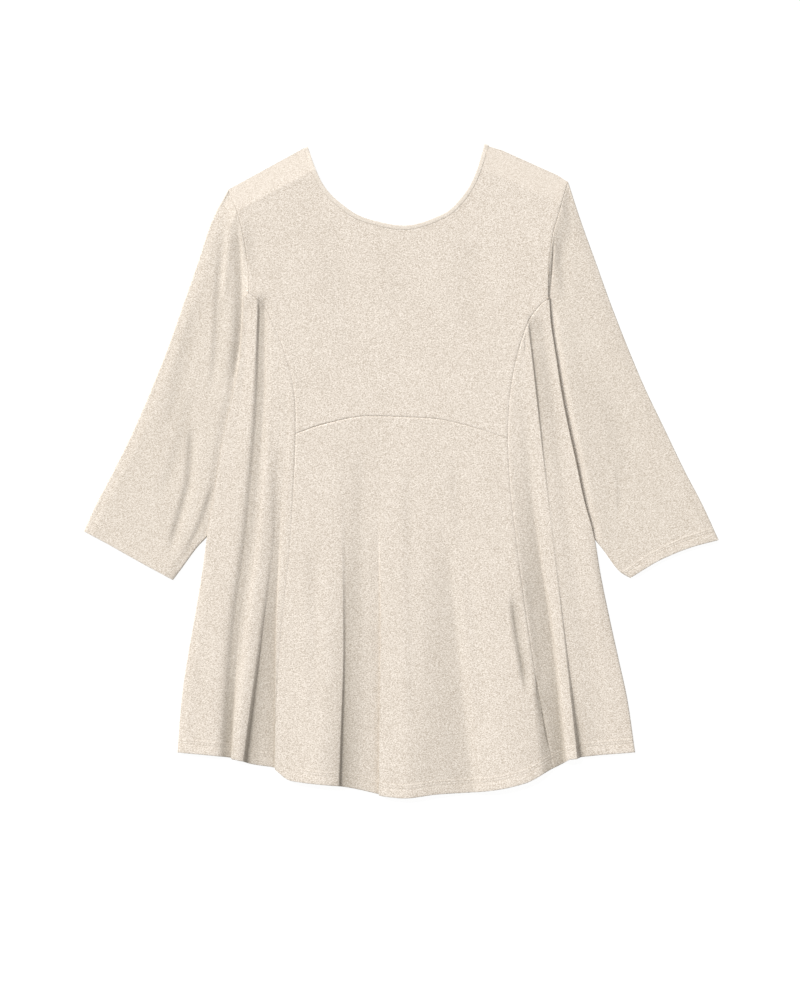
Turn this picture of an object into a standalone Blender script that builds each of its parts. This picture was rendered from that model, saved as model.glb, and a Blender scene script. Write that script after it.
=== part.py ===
"""Swing top laid flat: a three-quarter sleeve jersey tunic with a scoop neck.

The garment lies on its back on the plane z = 0, with its hem towards -Y and its neck
towards +Y. Its left sleeve in these names is the one at -X. Lengths in the tables are
millimetres, and every point is turned into metres as it is placed.
"""

import math

import bmesh
import bpy

MM = 0.001

# Cloth and seams
WALL = 1.2
SEAM_GAP = 0.42
LAYER_GAP = 0.3
BACK_TOP = WALL
FRONT_LOWEST = BACK_TOP + LAYER_GAP + WALL
CHEST_HEIGHT = 6.2
SLOPE_REACH = 0.8

# Shoulders: the bands that slope down to the shoulder seams
SHOULDER_BAND = 29.0
SHOULDER_EDGE = FRONT_LOWEST + 0.1

# Body side edges
EDGE_ROLL = 11.0
EDGE_ROLL_POWER = 2.2
UNDERARM_FADE = (236.0, 204.0)
BACK_INSET = 2.6

# Neck binding
BAND_WIDTH = 5.6
BAND_BACK_SHIFT = 1.5
BAND_PROUD = 0.15
BAND_CORNER = 0.3
NECK_STEP = 0.002

# Sleeves
SLEEVE_HEIGHT = 4.8
SLEEVE_EDGE = 3.8
SLEEVE_EDGE_WIDTH = 18.0
SLEEVE_HEAD_LENGTH = 48.0
SLEEVE_HEAD_STEP = 0.1
SLEEVE_HEAD_MARGIN = 0.5
SLEEVE_TUCK_HEIGHT = 4.1
SLEEVE_TUCK_FROM = (0.45, 0.8)
SLEEVE_FOLD_FADE = 0.12
BACK_SLEEVE_GAP = 0.8
BACK_ARMHOLE_SHIFT = (1.0, -1.2)
BACK_SIDE_ENDS = (204.0, -336.0)

# How finely each piece is divided
ARMHOLE_ROWS = 6
YOKE_ROWS = 8
SKIRT_ROWS = 15
SHOULDER_COLUMNS = 4
NECK_COLUMNS = 22
SKIRT_COLUMNS = 30
SIDE_COLUMNS = 13
SLEEVE_ROWS = 17
SLEEVE_TOP_COLUMNS = 9
SLEEVE_BOTTOM_COLUMNS = 4
SLEEVE_PLAN_COLUMNS = 20
BACK_SIDE_STEPS = 36
BACK_HEM_STEPS = 40
BAND_TURN_STEPS = 5

# Outline of the garment as it lies, each row a point (x, y)
SHOULDER_TIP = {"left": (-207.6, 336.6), "right": (200.4, 346.2)}
NECK_EDGE = (
    (-111.6, 388.2), (-102.0, 360.6), (-91.5, 340.0), (-73.2, 321.0), (-44.4, 303.0),
    (3.6, 293.4), (51.6, 307.8), (71.5, 325.8), (82.5, 341.5), (91.0, 361.0), (99.6, 390.6),
)
ARMHOLE = {
    "left": ((-207.6, 336.6), (-195.6, 307.5), (-187.0, 270.6), (-183.0, 235.0), (-182.4, 212.6)),
    "right": ((200.4, 346.2), (190.8, 313.8), (181.2, 278.0), (177.0, 240.0), (176.4, 206.0)),
}
YOKE_SEAM = {
    "left": ((-182.4, 212.6), (-167.0, 200.0), (-153.0, 174.5), (-131.0, 110.0),
             (-126.4, 74.0), (-126.0, 44.0)),
    "right": ((176.4, 206.0), (167.0, 198.0), (152.5, 178.0), (133.0, 109.0),
              (129.0, 74.0), (127.6, 38.0)),
}
SKIRT_SEAM = {
    "left": ((-126.0, 44.0), (-128.4, -20.0), (-133.2, -107.0), (-140.4, -203.0), (-149.0, -357.0)),
    "right": ((127.6, 38.0), (129.8, -8.0), (141.0, -107.0), (161.3, -245.0), (182.4, -357.0)),
}
EMPIRE_SEAM = ((-126.0, 44.0), (-93.0, 55.2), (-39.6, 65.0), (36.0, 62.3), (84.0, 52.4), (127.6, 38.0))
HEM = (
    (-267.6, -337.8), (-207.6, -343.8), (-178.8, -352.0), (-149.0, -357.0), (-128.0, -371.4),
    (-63.6, -379.8), (-10.0, -391.0), (3.6, -392.5), (42.0, -388.2), (99.6, -384.6),
    (147.6, -375.0), (182.4, -357.0), (214.8, -343.8), (280.8, -337.8),
)

# Body sides: height up the garment, x of each edge, how high each edge rides on what is
# under it, and how far the sleeve reaches in below it
SIDE_NAMES = ("y", "left_x", "right_x", "left_z", "right_z", "tuck")
SIDE_ROWS = (
    (208.0, -189.6, 181.4, 6.3, 6.6, 5.6),
    (180.0, -192.0, 183.0, 6.4, 6.9, 7.0),
    (136.0, -194.4, 187.0, 6.4, 7.2, 7.0),
    (94.0, -200.4, 195.0, 6.4, 7.2, 7.0),
    (52.0, -208.8, 204.0, 6.4, 7.2, 7.0),
    (12.0, -216.0, 211.2, 6.4, 7.0, 7.0),
    (-35.0, -223.2, 222.0, 6.2, 6.6, 7.0),
    (-70.0, -230.0, 230.5, 5.8, 6.0, 5.0),
    (-86.0, -232.8, 234.0, 5.6, 5.7, 0.0),
    (-122.0, -238.0, 238.0, 3.5, 3.5, 0.0),
    (-180.0, -247.2, 247.2, 2.9, 2.9, 0.0),
    (-227.0, -255.6, 256.8, 2.9, 2.9, 0.0),
    (-275.0, -262.8, 271.2, 2.9, 2.9, 0.0),
    (-338.0, -267.6, 280.8, 2.9, 2.9, 0.0),
)

# Sleeve outlines: height, and x of each outer edge
SLEEVE_OUTER_NAMES = ("y", "left_x", "right_x")
SLEEVE_OUTER_ROWS = (
    (300.0, -226.5, 215.5),
    (250.0, -243.5, 233.5),
    (200.0, -261.0, 251.5),
    (150.0, -278.5, 271.0),
    (100.0, -298.5, 292.0),
    (50.0, -320.0, 316.0),
    (0.0, -344.5, 340.0),
    (-40.0, -365.5, 361.0),
)
CUFF = {
    "left": ((-380.4, -72.8), (-351.6, -88.2), (-313.2, -109.8), (-273.4, -131.4)),
    "right": ((381.0, -83.4), (349.2, -91.8), (310.8, -107.4), (274.8, -129.0)),
}
SLEEVE_INNER_END = {
    "left": ((-246.0, -94.2), (-265.2, -120.6)),
    "right": ((243.6, -97.0), (262.8, -121.8)),
}

# Soft folds of the sleeves: where each trough crosses the sleeve at its head and at its
# cuff (0 outer edge, 1 inner edge), where it starts and ends (0 head, 1 cuff), its
# half-width and its depth
SLEEVE_FOLD_NAMES = ("side", "head", "cuff", "start", "end", "width", "depth")
SLEEVE_FOLDS = (
    ("left", 0.20, 0.86, 0.35, 1.00, 9.0, 1.1),
    ("left", 0.45, 0.62, 0.10, 0.80, 11.0, 0.9),
    ("left", 0.80, 0.55, 0.02, 0.45, 9.0, 0.9),
    ("right", 0.30, 0.45, 0.10, 0.75, 14.0, 0.7),
)

# Long folds of the body, from its left side to its right. Each is a line running down the
# garment: its x and its height z at four levels, and whether the cloth turns sharply there
FOLD_LEVELS = (100.0, -60.0, -204.0, -330.0)
FOLD_FADE_TOP = 200.0
FOLD_NAMES = ("line", "x_chest", "x_waist", "x_knee", "x_hem",
              "z_chest", "z_waist", "z_knee", "z_hem", "sharp")
FOLD_LINES = (
    ("side_left", -186.0, -214.8, -234.0, -243.6, 6.2, 6.0, 5.6, 5.2, 0),
    ("valley_a", -172.8, -186.6, -205.2, -214.0, 5.6, 4.8, 4.0, 3.2, 0),
    ("ridge_b", -160.8, -171.6, -182.4, -198.0, 6.3, 6.8, 9.0, 11.8, 0),
    ("lip_c", -151.2, -160.2, -171.0, -187.2, 6.2, 6.4, 8.2, 10.6, 1),
    ("foot_c", -145.2, -155.4, -166.2, -181.8, 6.2, 5.4, 3.9, 2.9, 1),
    ("floor_c", -140.4, -151.2, -151.2, -156.0, 6.2, 5.6, 4.3, 3.2, 0),
    ("rise_c", -134.4, -145.2, -144.6, -150.0, 6.2, 6.8, 8.2, 10.6, 1),
    ("crest_d", -103.2, -105.6, -111.6, -121.2, 6.2, 7.0, 9.0, 11.6, 0),
    ("lip_e", -75.6, -72.6, -70.8, -75.0, 6.2, 6.8, 8.7, 11.0, 1),
    ("foot_e", -66.0, -66.6, -65.4, -69.6, 6.2, 6.0, 4.7, 3.4, 1),
    ("floor_e", -34.8, -31.2, -28.8, -30.6, 6.2, 6.2, 5.2, 4.2, 0),
    ("rise_e", -22.8, -22.8, -22.2, -24.0, 6.2, 6.8, 8.0, 10.2, 1),
    ("crest_g", -6.0, -6.0, -3.6, -6.0, 6.2, 7.0, 8.8, 11.2, 0),
    ("slope_g", 13.2, 13.2, 18.0, 19.2, 6.2, 6.8, 7.4, 8.4, 0),
    ("valley_h", 37.2, 34.8, 46.8, 52.8, 6.2, 6.4, 6.5, 6.8, 0),
    ("foot_h", 52.8, 49.2, 68.4, 79.8, 6.2, 6.4, 6.6, 7.2, 0),
    ("rise_h", 64.8, 58.8, 78.0, 87.0, 6.2, 6.9, 8.6, 10.6, 1),
    ("crest_i", 92.4, 92.4, 106.8, 111.6, 6.2, 7.1, 9.0, 11.2, 0),
    ("shoulder_i", 118.8, 121.2, 133.2, 140.4, 6.2, 6.9, 8.2, 10.0, 0),
    ("floor_j", 136.8, 145.2, 154.8, 157.2, 6.3, 6.6, 5.6, 4.2, 0),
    ("core_j", 145.2, 162.0, 175.8, 187.2, 6.3, 6.3, 4.2, 3.0, 1),
    ("rise_k", 152.4, 174.0, 183.0, 193.8, 6.4, 6.9, 8.4, 11.0, 1),
    ("lip_k", 158.4, 180.6, 195.6, 209.4, 6.4, 7.0, 8.6, 11.4, 1),
    ("foot_l", 163.2, 185.4, 200.4, 215.4, 5.0, 5.0, 4.4, 3.2, 1),
    ("shelf_l", 169.2, 192.0, 208.8, 224.4, 6.6, 6.6, 6.2, 5.6, 0),
    ("side_right", 182.4, 210.0, 234.0, 256.8, 6.9, 6.6, 5.2, 4.4, 0),
)
SHARP_WIDTH = 4.5
SHARP_CROWDING = 4.0
SHARP_FROM = (120.0, -120.0)
CROWD_SAMPLES = 90

COLOURS = {
    "back": (0.62, 0.54, 0.44),
    "front": (0.79, 0.71, 0.60),
    "sleeve": (0.80, 0.72, 0.61),
    "band": (0.75, 0.67, 0.56),
}
CLOTH_ROUGHNESS = 0.9


def column(rows, names, wanted):
    """Read one named column of a table."""
    place = names.index(wanted)
    return [row[place] for row in rows]


def smooth_curve(knots, values):
    """Monotone cubic through (knot, value) pairs, straight beyond its ends."""
    pairs = sorted(zip(knots, values))
    xs = [p[0] for p in pairs]
    ys = [p[1] for p in pairs]
    steps = [b - a for a, b in zip(xs, xs[1:])]
    slopes = [(b - a) / h for a, b, h in zip(ys, ys[1:], steps)]
    tangents = [slopes[0]]
    for before, after in zip(slopes, slopes[1:]):
        same_way = before * after > 0.0
        tangents.append(2.0 * before * after / (before + after) if same_way else 0.0)
    tangents.append(slopes[-1])

    def value_at(x):
        if x <= xs[0]:
            return ys[0] + tangents[0] * (x - xs[0])
        if x >= xs[-1]:
            return ys[-1] + tangents[-1] * (x - xs[-1])
        i = 0
        while x > xs[i + 1]:
            i += 1
        h = steps[i]
        t = (x - xs[i]) / h
        return ((1 + 2 * t) * (1 - t) ** 2 * ys[i] + t * (1 - t) ** 2 * h * tangents[i]
                + t * t * (3 - 2 * t) * ys[i + 1] + t * t * (t - 1) * h * tangents[i + 1])

    return value_at


def smooth_path(points):
    """Path through points (x, y), asked for by its share of the length, 0 to 1."""
    lengths = [0.0]
    for a, b in zip(points, points[1:]):
        lengths.append(lengths[-1] + math.dist(a, b))
    shares = [length / lengths[-1] for length in lengths]
    x_at = smooth_curve(shares, [p[0] for p in points])
    y_at = smooth_curve(shares, [p[1] for p in points])
    return lambda t: (x_at(t), y_at(t))


def stations(path, count):
    """Points at equal shares of a path, both ends included."""
    return [path(i / count) for i in range(count + 1)]


def ramp(low, high, value):
    """Smooth step from 0 at low to 1 at high."""
    t = min(1.0, max(0.0, (value - low) / (high - low)))
    return t * t * (3.0 - 2.0 * t)


def between(a, b, t):
    """Point at share t of the way from a to b."""
    return tuple(p + (q - p) * t for p, q in zip(a, b))


side_curves = {
    name: smooth_curve(column(SIDE_ROWS, SIDE_NAMES, "y"),
                       column(SIDE_ROWS, SIDE_NAMES, name))
    for name in SIDE_NAMES[1:]
}
neck_path = smooth_path(NECK_EDGE)
hem_path = smooth_curve([p[0] for p in HEM], [p[1] for p in HEM])
fold_x = [smooth_curve(FOLD_LEVELS, row[1:5]) for row in FOLD_LINES]
fold_z = [smooth_curve(FOLD_LEVELS, row[5:9]) for row in FOLD_LINES]
fold_is_sharp = [row[9] == 1 for row in FOLD_LINES]


def fold_section(y):
    """Knots (x, z) of the section across the body at height y."""
    level = min(y, FOLD_LEVELS[0])
    fade = ramp(FOLD_FADE_TOP, FOLD_LEVELS[0], y)
    xs = [x_at(level) for x_at in fold_x]
    zs = [CHEST_HEIGHT + (z_at(level) - CHEST_HEIGHT) * fade for z_at in fold_z]
    return xs, zs


section_cache = {}


def section_height(x, y):
    """Height of the folded cloth at (x, y), with no edges yet."""
    key = round(y, 4)
    if key not in section_cache:
        xs, zs = fold_section(y)
        section_cache[key] = (smooth_curve(xs, zs), xs[0], xs[-1], zs[0], zs[-1])
    curve, first_x, last_x, first_z, last_z = section_cache[key]
    if x <= first_x:
        return first_z
    if x >= last_x:
        return last_z
    return curve(x)


def shoulder_distance(x, y):
    """How far (x, y) lies below the nearer shoulder seam."""
    reach = []
    for side, neck_point in (("left", NECK_EDGE[0]), ("right", NECK_EDGE[-1])):
        tip = SHOULDER_TIP[side]
        dx, dy = neck_point[0] - tip[0], neck_point[1] - tip[1]
        length = math.hypot(dx, dy)
        below = abs(dx) / dx * ((x - tip[0]) * dy - (y - tip[1]) * dx) / length
        reach.append(below)
    return min(reach)


def front_height(x, y):
    """Height of the front's outer face at (x, y)."""
    z = section_height(x, y)
    at_side = ramp(*UNDERARM_FADE, y)
    level = min(y, SIDE_ROWS[0][0])
    for side, inward in (("left", 1.0), ("right", -1.0)):
        inside = inward * (x - side_curves[side + "_x"](level))
        if inside < EDGE_ROLL:
            roll = (1.0 - max(0.0, inside) / EDGE_ROLL) ** EDGE_ROLL_POWER * at_side
            z += (side_curves[side + "_z"](level) - z) * roll
    below = max(0.0, shoulder_distance(x, y))
    if below < SHOULDER_BAND:
        z = SHOULDER_EDGE + (z - SHOULDER_EDGE) * below / SHOULDER_BAND
    return max(z, FRONT_LOWEST)


def front_normal(x, y):
    """Unit normal of the front's outer face at (x, y)."""
    r = SLOPE_REACH
    slope_x = (front_height(x + r, y) - front_height(x - r, y)) / (2 * r)
    slope_y = (front_height(x, y + r) - front_height(x, y - r)) / (2 * r)
    size = math.sqrt(slope_x ** 2 + slope_y ** 2 + 1.0)
    return -slope_x / size, -slope_y / size, 1.0 / size


def front_point(x, y, depth):
    """Point on the front's outer face, or depth below it."""
    nx, ny, nz = front_normal(x, y)
    return x - nx * depth, y - ny * depth, front_height(x, y) - nz * depth


def filled_grid(bottom, top, left, right):
    """Rows of points between four edges, each edge a list of stations."""
    rows, columns = len(left) - 1, len(bottom) - 1
    grid = []
    for j in range(rows + 1):
        v = j / rows
        line = []
        for i in range(columns + 1):
            u = i / columns
            along = between(bottom[i], top[i], v)
            across = between(left[j], right[j], u)
            corners = between(between(bottom[0], bottom[-1], u), between(top[0], top[-1], u), v)
            line.append((along[0] + across[0] - corners[0], along[1] + across[1] - corners[1]))
        grid.append(line)
    return grid


def trim(grid, margin):
    """Draw a grid's four edges in by margin, along its own lines."""
    def drawn(edge, inner):
        return between(edge, inner, min(0.45, margin / math.dist(edge, inner)))

    for line in grid:
        line[0], line[-1] = drawn(line[0], line[1]), drawn(line[-1], line[-2])
    bottom = [drawn(p, q) for p, q in zip(grid[0], grid[1])]
    top = [drawn(p, q) for p, q in zip(grid[-1], grid[-2])]
    grid[0], grid[-1] = bottom, top
    return grid


def along_line(line, share):
    """Point at a share, 0 to 1, of the steps of a row of points."""
    place = min(max(share, 0.0), 1.0) * (len(line) - 1)
    i = min(int(place), len(line) - 2)
    return between(line[i], line[i + 1], place - i)


def crowded(line, count):
    """Share out count steps along a row of points, closer together at the sharp folds."""
    path = [along_line(line, k / CROWD_SAMPLES) for k in range(CROWD_SAMPLES + 1)]
    totals = [0.0]
    for a, b in zip(path, path[1:]):
        x, y = between(a, b, 0.5)
        level = min(y, FOLD_LEVELS[0])
        weight = 1.0
        for x_at, sharp in zip(fold_x, fold_is_sharp):
            if sharp:
                offset = (x - x_at(level)) / SHARP_WIDTH
                weight += SHARP_CROWDING * ramp(*SHARP_FROM, y) * math.exp(-offset * offset)
        totals.append(totals[-1] + weight * math.dist(a, b))
    placed = []
    k = 0
    for i in range(count + 1):
        wanted = totals[-1] * i / count
        while k < CROWD_SAMPLES - 1 and totals[k + 1] < wanted:
            k += 1
        share = (wanted - totals[k]) / (totals[k + 1] - totals[k])
        placed.append(between(path[k], path[k + 1], min(1.0, share)))
    return placed


def cloth_material(name, colour):
    material = bpy.data.materials.new(name)
    material.use_nodes = True
    shader = material.node_tree.nodes["Principled BSDF"]
    shader.inputs["Base Color"].default_value = (*colour, 1.0)
    shader.inputs["Roughness"].default_value = CLOTH_ROUGHNESS
    shader.inputs["Metallic"].default_value = 0.0
    return material


def keep_object(name, mesh, colour):
    mesh.materials.append(cloth_material(name, colour))
    mesh.shade_smooth()
    piece = bpy.data.objects.new(name, mesh)
    garment.objects.link(piece)
    return piece


def double_wall(shape):
    """Give an open sheet of faces a second layer, and return both lists of points."""
    outer = list(shape.verts)
    made = bmesh.ops.extrude_face_region(shape, geom=shape.faces[:], use_keep_orig=True)
    inner = [item for item in made["geom"] if isinstance(item, bmesh.types.BMVert)]
    return outer, inner


def finish_mesh(name, shape, colour):
    bmesh.ops.recalc_face_normals(shape, faces=shape.faces[:])
    mesh = bpy.data.meshes.new(name)
    shape.to_mesh(mesh)
    shape.free()
    return keep_object(name, mesh, colour)


def add_panel(name, grid, colour):
    """Cloth panel over a grid of plan points: a sheet with a second layer WALL below."""
    rows, columns = len(grid) - 1, len(grid[0]) - 1
    shape = bmesh.new()
    bmesh.ops.create_grid(shape, x_segments=columns, y_segments=rows, size=1.0)
    outer, inner = double_wall(shape)
    for layer, depth in ((outer, 0.0), (inner, WALL)):
        for vert in layer:
            i = round((vert.co.x + 1.0) / 2.0 * columns)
            j = round((vert.co.y + 1.0) / 2.0 * rows)
            x, y = grid[j][i]
            vert.co = [value * MM for value in front_point(x, y, depth)]
    return finish_mesh(name, shape, colour)


def neck_offset(t, distance):
    """Point beside the neck edge, distance away from the opening."""
    x0, y0 = neck_path(max(0.0, t - NECK_STEP))
    x1, y1 = neck_path(min(1.0, t + NECK_STEP))
    length = math.hypot(x1 - x0, y1 - y0)
    x, y = neck_path(t)
    return x + (y1 - y0) / length * distance, y - (x1 - x0) / length * distance


def neck_stations(distance):
    return [neck_offset(k / NECK_COLUMNS, distance) for k in range(NECK_COLUMNS + 1)]


def add_bodice():
    """Upper front: shoulders and neck at its top, empire seam at its foot."""
    neck = neck_stations(BAND_WIDTH + SEAM_GAP / 2)
    left_shoulder = smooth_path((SHOULDER_TIP["left"], neck[0]))
    right_shoulder = smooth_path((neck[-1], SHOULDER_TIP["right"]))
    top = (stations(left_shoulder, SHOULDER_COLUMNS)[:-1] + neck
           + stations(right_shoulder, SHOULDER_COLUMNS)[1:])
    bottom = stations(smooth_path(EMPIRE_SEAM), len(top) - 1)
    edges = {}
    for side in ("left", "right"):
        armhole = stations(smooth_path(ARMHOLE[side]), ARMHOLE_ROWS)
        yoke = stations(smooth_path(YOKE_SEAM[side]), YOKE_ROWS)
        edges[side] = (armhole[:-1] + yoke)[::-1]
    grid = filled_grid(bottom, top, edges["left"], edges["right"])
    return add_panel("front_bodice", trim(grid, SEAM_GAP / 2), COLOURS["front"])


def add_skirt():
    """Centre front skirt, between the princess seams."""
    left = stations(smooth_path(SKIRT_SEAM["left"]), SKIRT_ROWS)[::-1]
    right = stations(smooth_path(SKIRT_SEAM["right"]), SKIRT_ROWS)[::-1]
    top = stations(smooth_path(EMPIRE_SEAM), SKIRT_COLUMNS)
    bottom = []
    for i in range(SKIRT_COLUMNS + 1):
        x = left[0][0] + (right[0][0] - left[0][0]) * i / SKIRT_COLUMNS
        bottom.append((x, hem_path(x)))
    grid = trim(filled_grid(bottom, top, left, right), SEAM_GAP / 2)
    grid = [crowded(line, SKIRT_COLUMNS) for line in grid]
    return add_panel("front_skirt", grid, COLOURS["front"])


def add_side_front(side):
    """Side panel of the front, from the underarm to the hem."""
    yoke = stations(smooth_path(YOKE_SEAM[side]), YOKE_ROWS)
    skirt = stations(smooth_path(SKIRT_SEAM[side]), SKIRT_ROWS)
    seam = (yoke[:-1] + skirt)[::-1]
    top_y, hem_y = SIDE_ROWS[0][0], SIDE_ROWS[-1][0]
    outer = []
    for point in seam:
        share = (point[1] - seam[0][1]) / (seam[-1][1] - seam[0][1])
        y = hem_y + (top_y - hem_y) * share
        outer.append((side_curves[side + "_x"](y), y))
    left, right = (outer, seam) if side == "left" else (seam, outer)
    bottom, top = [], []
    for i in range(SIDE_COLUMNS + 1):
        t = i / SIDE_COLUMNS
        x = left[0][0] + (right[0][0] - left[0][0]) * t
        bottom.append((x, hem_path(x)))
        top.append(between(left[-1], right[-1], t))
    grid = trim(filled_grid(bottom, top, left, right), SEAM_GAP / 2)
    grid = [crowded(line, SIDE_COLUMNS) for line in grid]
    return add_panel("side_front_" + side, grid, COLOURS["front"])


def sleeve_inner_points(side):
    """Inner edge of a sleeve: under the body's side at first, then out in the open."""
    inward = 1.0 if side == "left" else -1.0
    points = [ARMHOLE[side][-1]]
    for row in SIDE_ROWS[1:]:
        if row[5] > 0.0:
            points.append((side_curves[side + "_x"](row[0]) + inward * row[5], row[0]))
    points.extend(SLEEVE_INNER_END[side])
    points.append(CUFF[side][-1])
    return points


def sleeve_outer_points(side):
    points = [SHOULDER_TIP[side]]
    xs = column(SLEEVE_OUTER_ROWS, SLEEVE_OUTER_NAMES, side + "_x")
    for row, x in zip(SLEEVE_OUTER_ROWS, xs):
        points.append((x, row[0]))
    points.append(CUFF[side][0])
    return points


def sleeve_top_height(side, t, s, length, width):
    """Height of a sleeve's upper face: t across from its outer edge, s down from its head."""
    z = SLEEVE_HEIGHT
    x, y = smooth_path(ARMHOLE[side])(t)
    head = front_height(x, y) - SLEEVE_HEAD_STEP
    head += (SLEEVE_TUCK_HEIGHT - head) * ramp(*SLEEVE_TUCK_FROM, t)
    z += (head - z) * (1.0 - ramp(0.0, SLEEVE_HEAD_LENGTH, s * length))
    for fold in SLEEVE_FOLDS:
        row = dict(zip(SLEEVE_FOLD_NAMES, fold))
        if row["side"] == side:
            centre = row["head"] + (row["cuff"] - row["head"]) * s
            offset = (t - centre) * width / row["width"]
            fade_in = ramp(row["start"], row["start"] + SLEEVE_FOLD_FADE, s)
            fade_out = ramp(row["end"] + SLEEVE_FOLD_FADE, row["end"], s)
            z -= row["depth"] * fade_in * fade_out * math.exp(-offset * offset)
    near_edge = min(t, 1.0 - t) * width
    return SLEEVE_EDGE + max(0.0, z - SLEEVE_EDGE) * ramp(0.0, SLEEVE_EDGE_WIDTH, near_edge)


def sleeve_ring():
    """Stations round a sleeve: a rolled edge and an angle, or a face and a share across it."""
    turn = [math.radians(angle) for angle in (-90, -45, 0, 45, 90)]
    across_top = [(k + 1) / (SLEEVE_TOP_COLUMNS + 1) for k in range(SLEEVE_TOP_COLUMNS)]
    across_bottom = [(k + 1) / (SLEEVE_BOTTOM_COLUMNS + 1) for k in range(SLEEVE_BOTTOM_COLUMNS)]
    ring = [("outer", angle) for angle in turn]
    ring += [("top", share) for share in across_top]
    ring += [("inner", -angle) for angle in turn]
    ring += [("bottom", share) for share in reversed(across_bottom)]
    return ring


def add_sleeve(side):
    """Sleeve lying flat: a tube with rolled edges, open at the armhole and at the cuff."""
    ring = sleeve_ring()
    outer_edge = stations(smooth_path(sleeve_outer_points(side)), SLEEVE_ROWS)
    inner_edge = stations(smooth_path(sleeve_inner_points(side)), SLEEVE_ROWS)
    head = stations(smooth_path(ARMHOLE[side]), SLEEVE_PLAN_COLUMNS)
    cuff = stations(smooth_path(CUFF[side]), SLEEVE_PLAN_COLUMNS)
    plan = filled_grid(outer_edge, inner_edge, head, cuff)
    for line in plan:
        line[0] = between(line[0], line[1], SLEEVE_HEAD_MARGIN / math.dist(line[0], line[1]))
    length = sum(math.dist(a, b) for a, b in zip(outer_edge, outer_edge[1:]))

    def wall_point(station, i, depth):
        kind, value = station
        width = math.dist(plan[0][i], plan[-1][i])
        radius = SLEEVE_EDGE / 2
        s = i / SLEEVE_ROWS
        if kind in ("outer", "inner"):
            away = radius - (radius - depth) * math.cos(value)
            t = away / width if kind == "outer" else 1.0 - away / width
            z = radius + (radius - depth) * math.sin(value)
        elif kind == "top":
            t = radius / width + value * (1.0 - 2 * radius / width)
            z = sleeve_top_height(side, t, s, length, width) - depth
        else:
            t = radius / width + value * (1.0 - 2 * radius / width)
            z = depth
        x, y = along_line([line[i] for line in plan], t)
        return x * MM, y * MM, z * MM

    shape = bmesh.new()
    bmesh.ops.create_cone(shape, cap_ends=False, segments=len(ring), radius1=1.0, radius2=1.0, depth=2.0)
    upright = [edge for edge in shape.edges if edge.verts[0].co.z * edge.verts[1].co.z < 0.0]
    bmesh.ops.subdivide_edges(shape, edges=upright, cuts=SLEEVE_ROWS - 1, use_grid_fill=True)
    first = math.atan2(shape.verts[:][0].co.y, shape.verts[:][0].co.x)
    for layer, depth in zip(double_wall(shape), (0.0, WALL)):
        for vert in layer:
            turns = (math.atan2(vert.co.y, vert.co.x) - first) / (2 * math.pi)
            station = ring[round(turns * len(ring)) % len(ring)]
            i = round((1.0 - vert.co.z) / 2.0 * SLEEVE_ROWS)
            vert.co = wall_point(station, i, depth)
    return finish_mesh("sleeve_" + side, shape, COLOURS["sleeve"])


def band_sections():
    """Sections of the neck binding round its closed loop: front, turn, back, turn.

    Each is a centre, a width direction away from the opening, and an upward direction.
    """
    half = BAND_WIDTH / 2
    low, high = BACK_TOP / 2, FRONT_LOWEST + 0.1 - WALL / 2
    middle, radius = (low + high) / 2, (high - low) / 2
    sections = []

    def frame_at(t):
        edge, outside = neck_path(t), neck_offset(t, 1.0)
        return edge, (outside[0] - edge[0], outside[1] - edge[1])

    def add_turn(t, forward):
        edge, width = frame_at(t)
        along = (-width[1] * forward, width[0] * forward)
        for k in range(1, BAND_TURN_STEPS):
            angle = math.pi * k / BAND_TURN_STEPS
            out = radius * math.sin(angle)
            lift = radius * math.cos(angle) * forward
            centre = (edge[0] + width[0] * half + along[0] * out * forward,
                      edge[1] + width[1] * half + along[1] * out * forward,
                      middle + lift)
            up = (along[0] * math.sin(angle) * forward, along[1] * math.sin(angle) * forward,
                  math.cos(angle) * forward)
            sections.append((centre, width, up))

    for k in range(NECK_COLUMNS + 1):
        t = k / NECK_COLUMNS
        edge, width = frame_at(t)
        x, y = edge[0] + width[0] * half, edge[1] + width[1] * half
        ends = ramp(0.0, 0.08, t) * ramp(1.0, 0.92, t)
        z = high + (front_height(x, y) + BAND_PROUD - WALL / 2 - high) * ends
        sections.append(((x, y, z), width, (0.0, 0.0, 1.0)))
    add_turn(1.0, 1.0)
    for k in range(NECK_COLUMNS, -1, -1):
        t = k / NECK_COLUMNS
        edge, width = frame_at(t)
        shift = half + BAND_BACK_SHIFT * ramp(0.0, 0.12, t) * ramp(1.0, 0.88, t)
        centre = (edge[0] + width[0] * shift, edge[1] + width[1] * shift, low)
        sections.append((centre, width, (0.0, 0.0, -1.0)))
    add_turn(0.0, -1.0)
    return sections


def add_neck_band():
    """Neck binding: a flat strip in a closed loop, its section a rectangle with cut corners."""
    half, thick, corner = BAND_WIDTH / 2, WALL / 2, BAND_CORNER
    profile = ((half, corner), (half - corner, thick), (corner - half, thick), (-half, corner),
               (-half, -corner), (corner - half, -thick), (half - corner, -thick), (half, -corner))
    sections = band_sections()
    bpy.ops.mesh.primitive_torus_add(major_segments=len(sections), minor_segments=len(profile),
                                     major_radius=2.0, minor_radius=1.0)
    ring = bpy.context.object
    for vert in ring.data.vertices:
        around = math.atan2(vert.co.y, vert.co.x) / (2 * math.pi)
        beside = math.atan2(vert.co.z, math.hypot(vert.co.x, vert.co.y) - 2.0) / (2 * math.pi)
        centre, width, up = sections[round(around * len(sections)) % len(sections)]
        w, h = profile[round(beside * len(profile)) % len(profile)]
        across = (width[0], width[1], 0.0)
        vert.co = [(c + a * w + u * h) * MM for c, a, u in zip(centre, across, up)]
    shape = bmesh.new()
    shape.from_mesh(ring.data)
    bpy.data.objects.remove(ring)
    return finish_mesh("neck_band", shape, COLOURS["band"])


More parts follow.
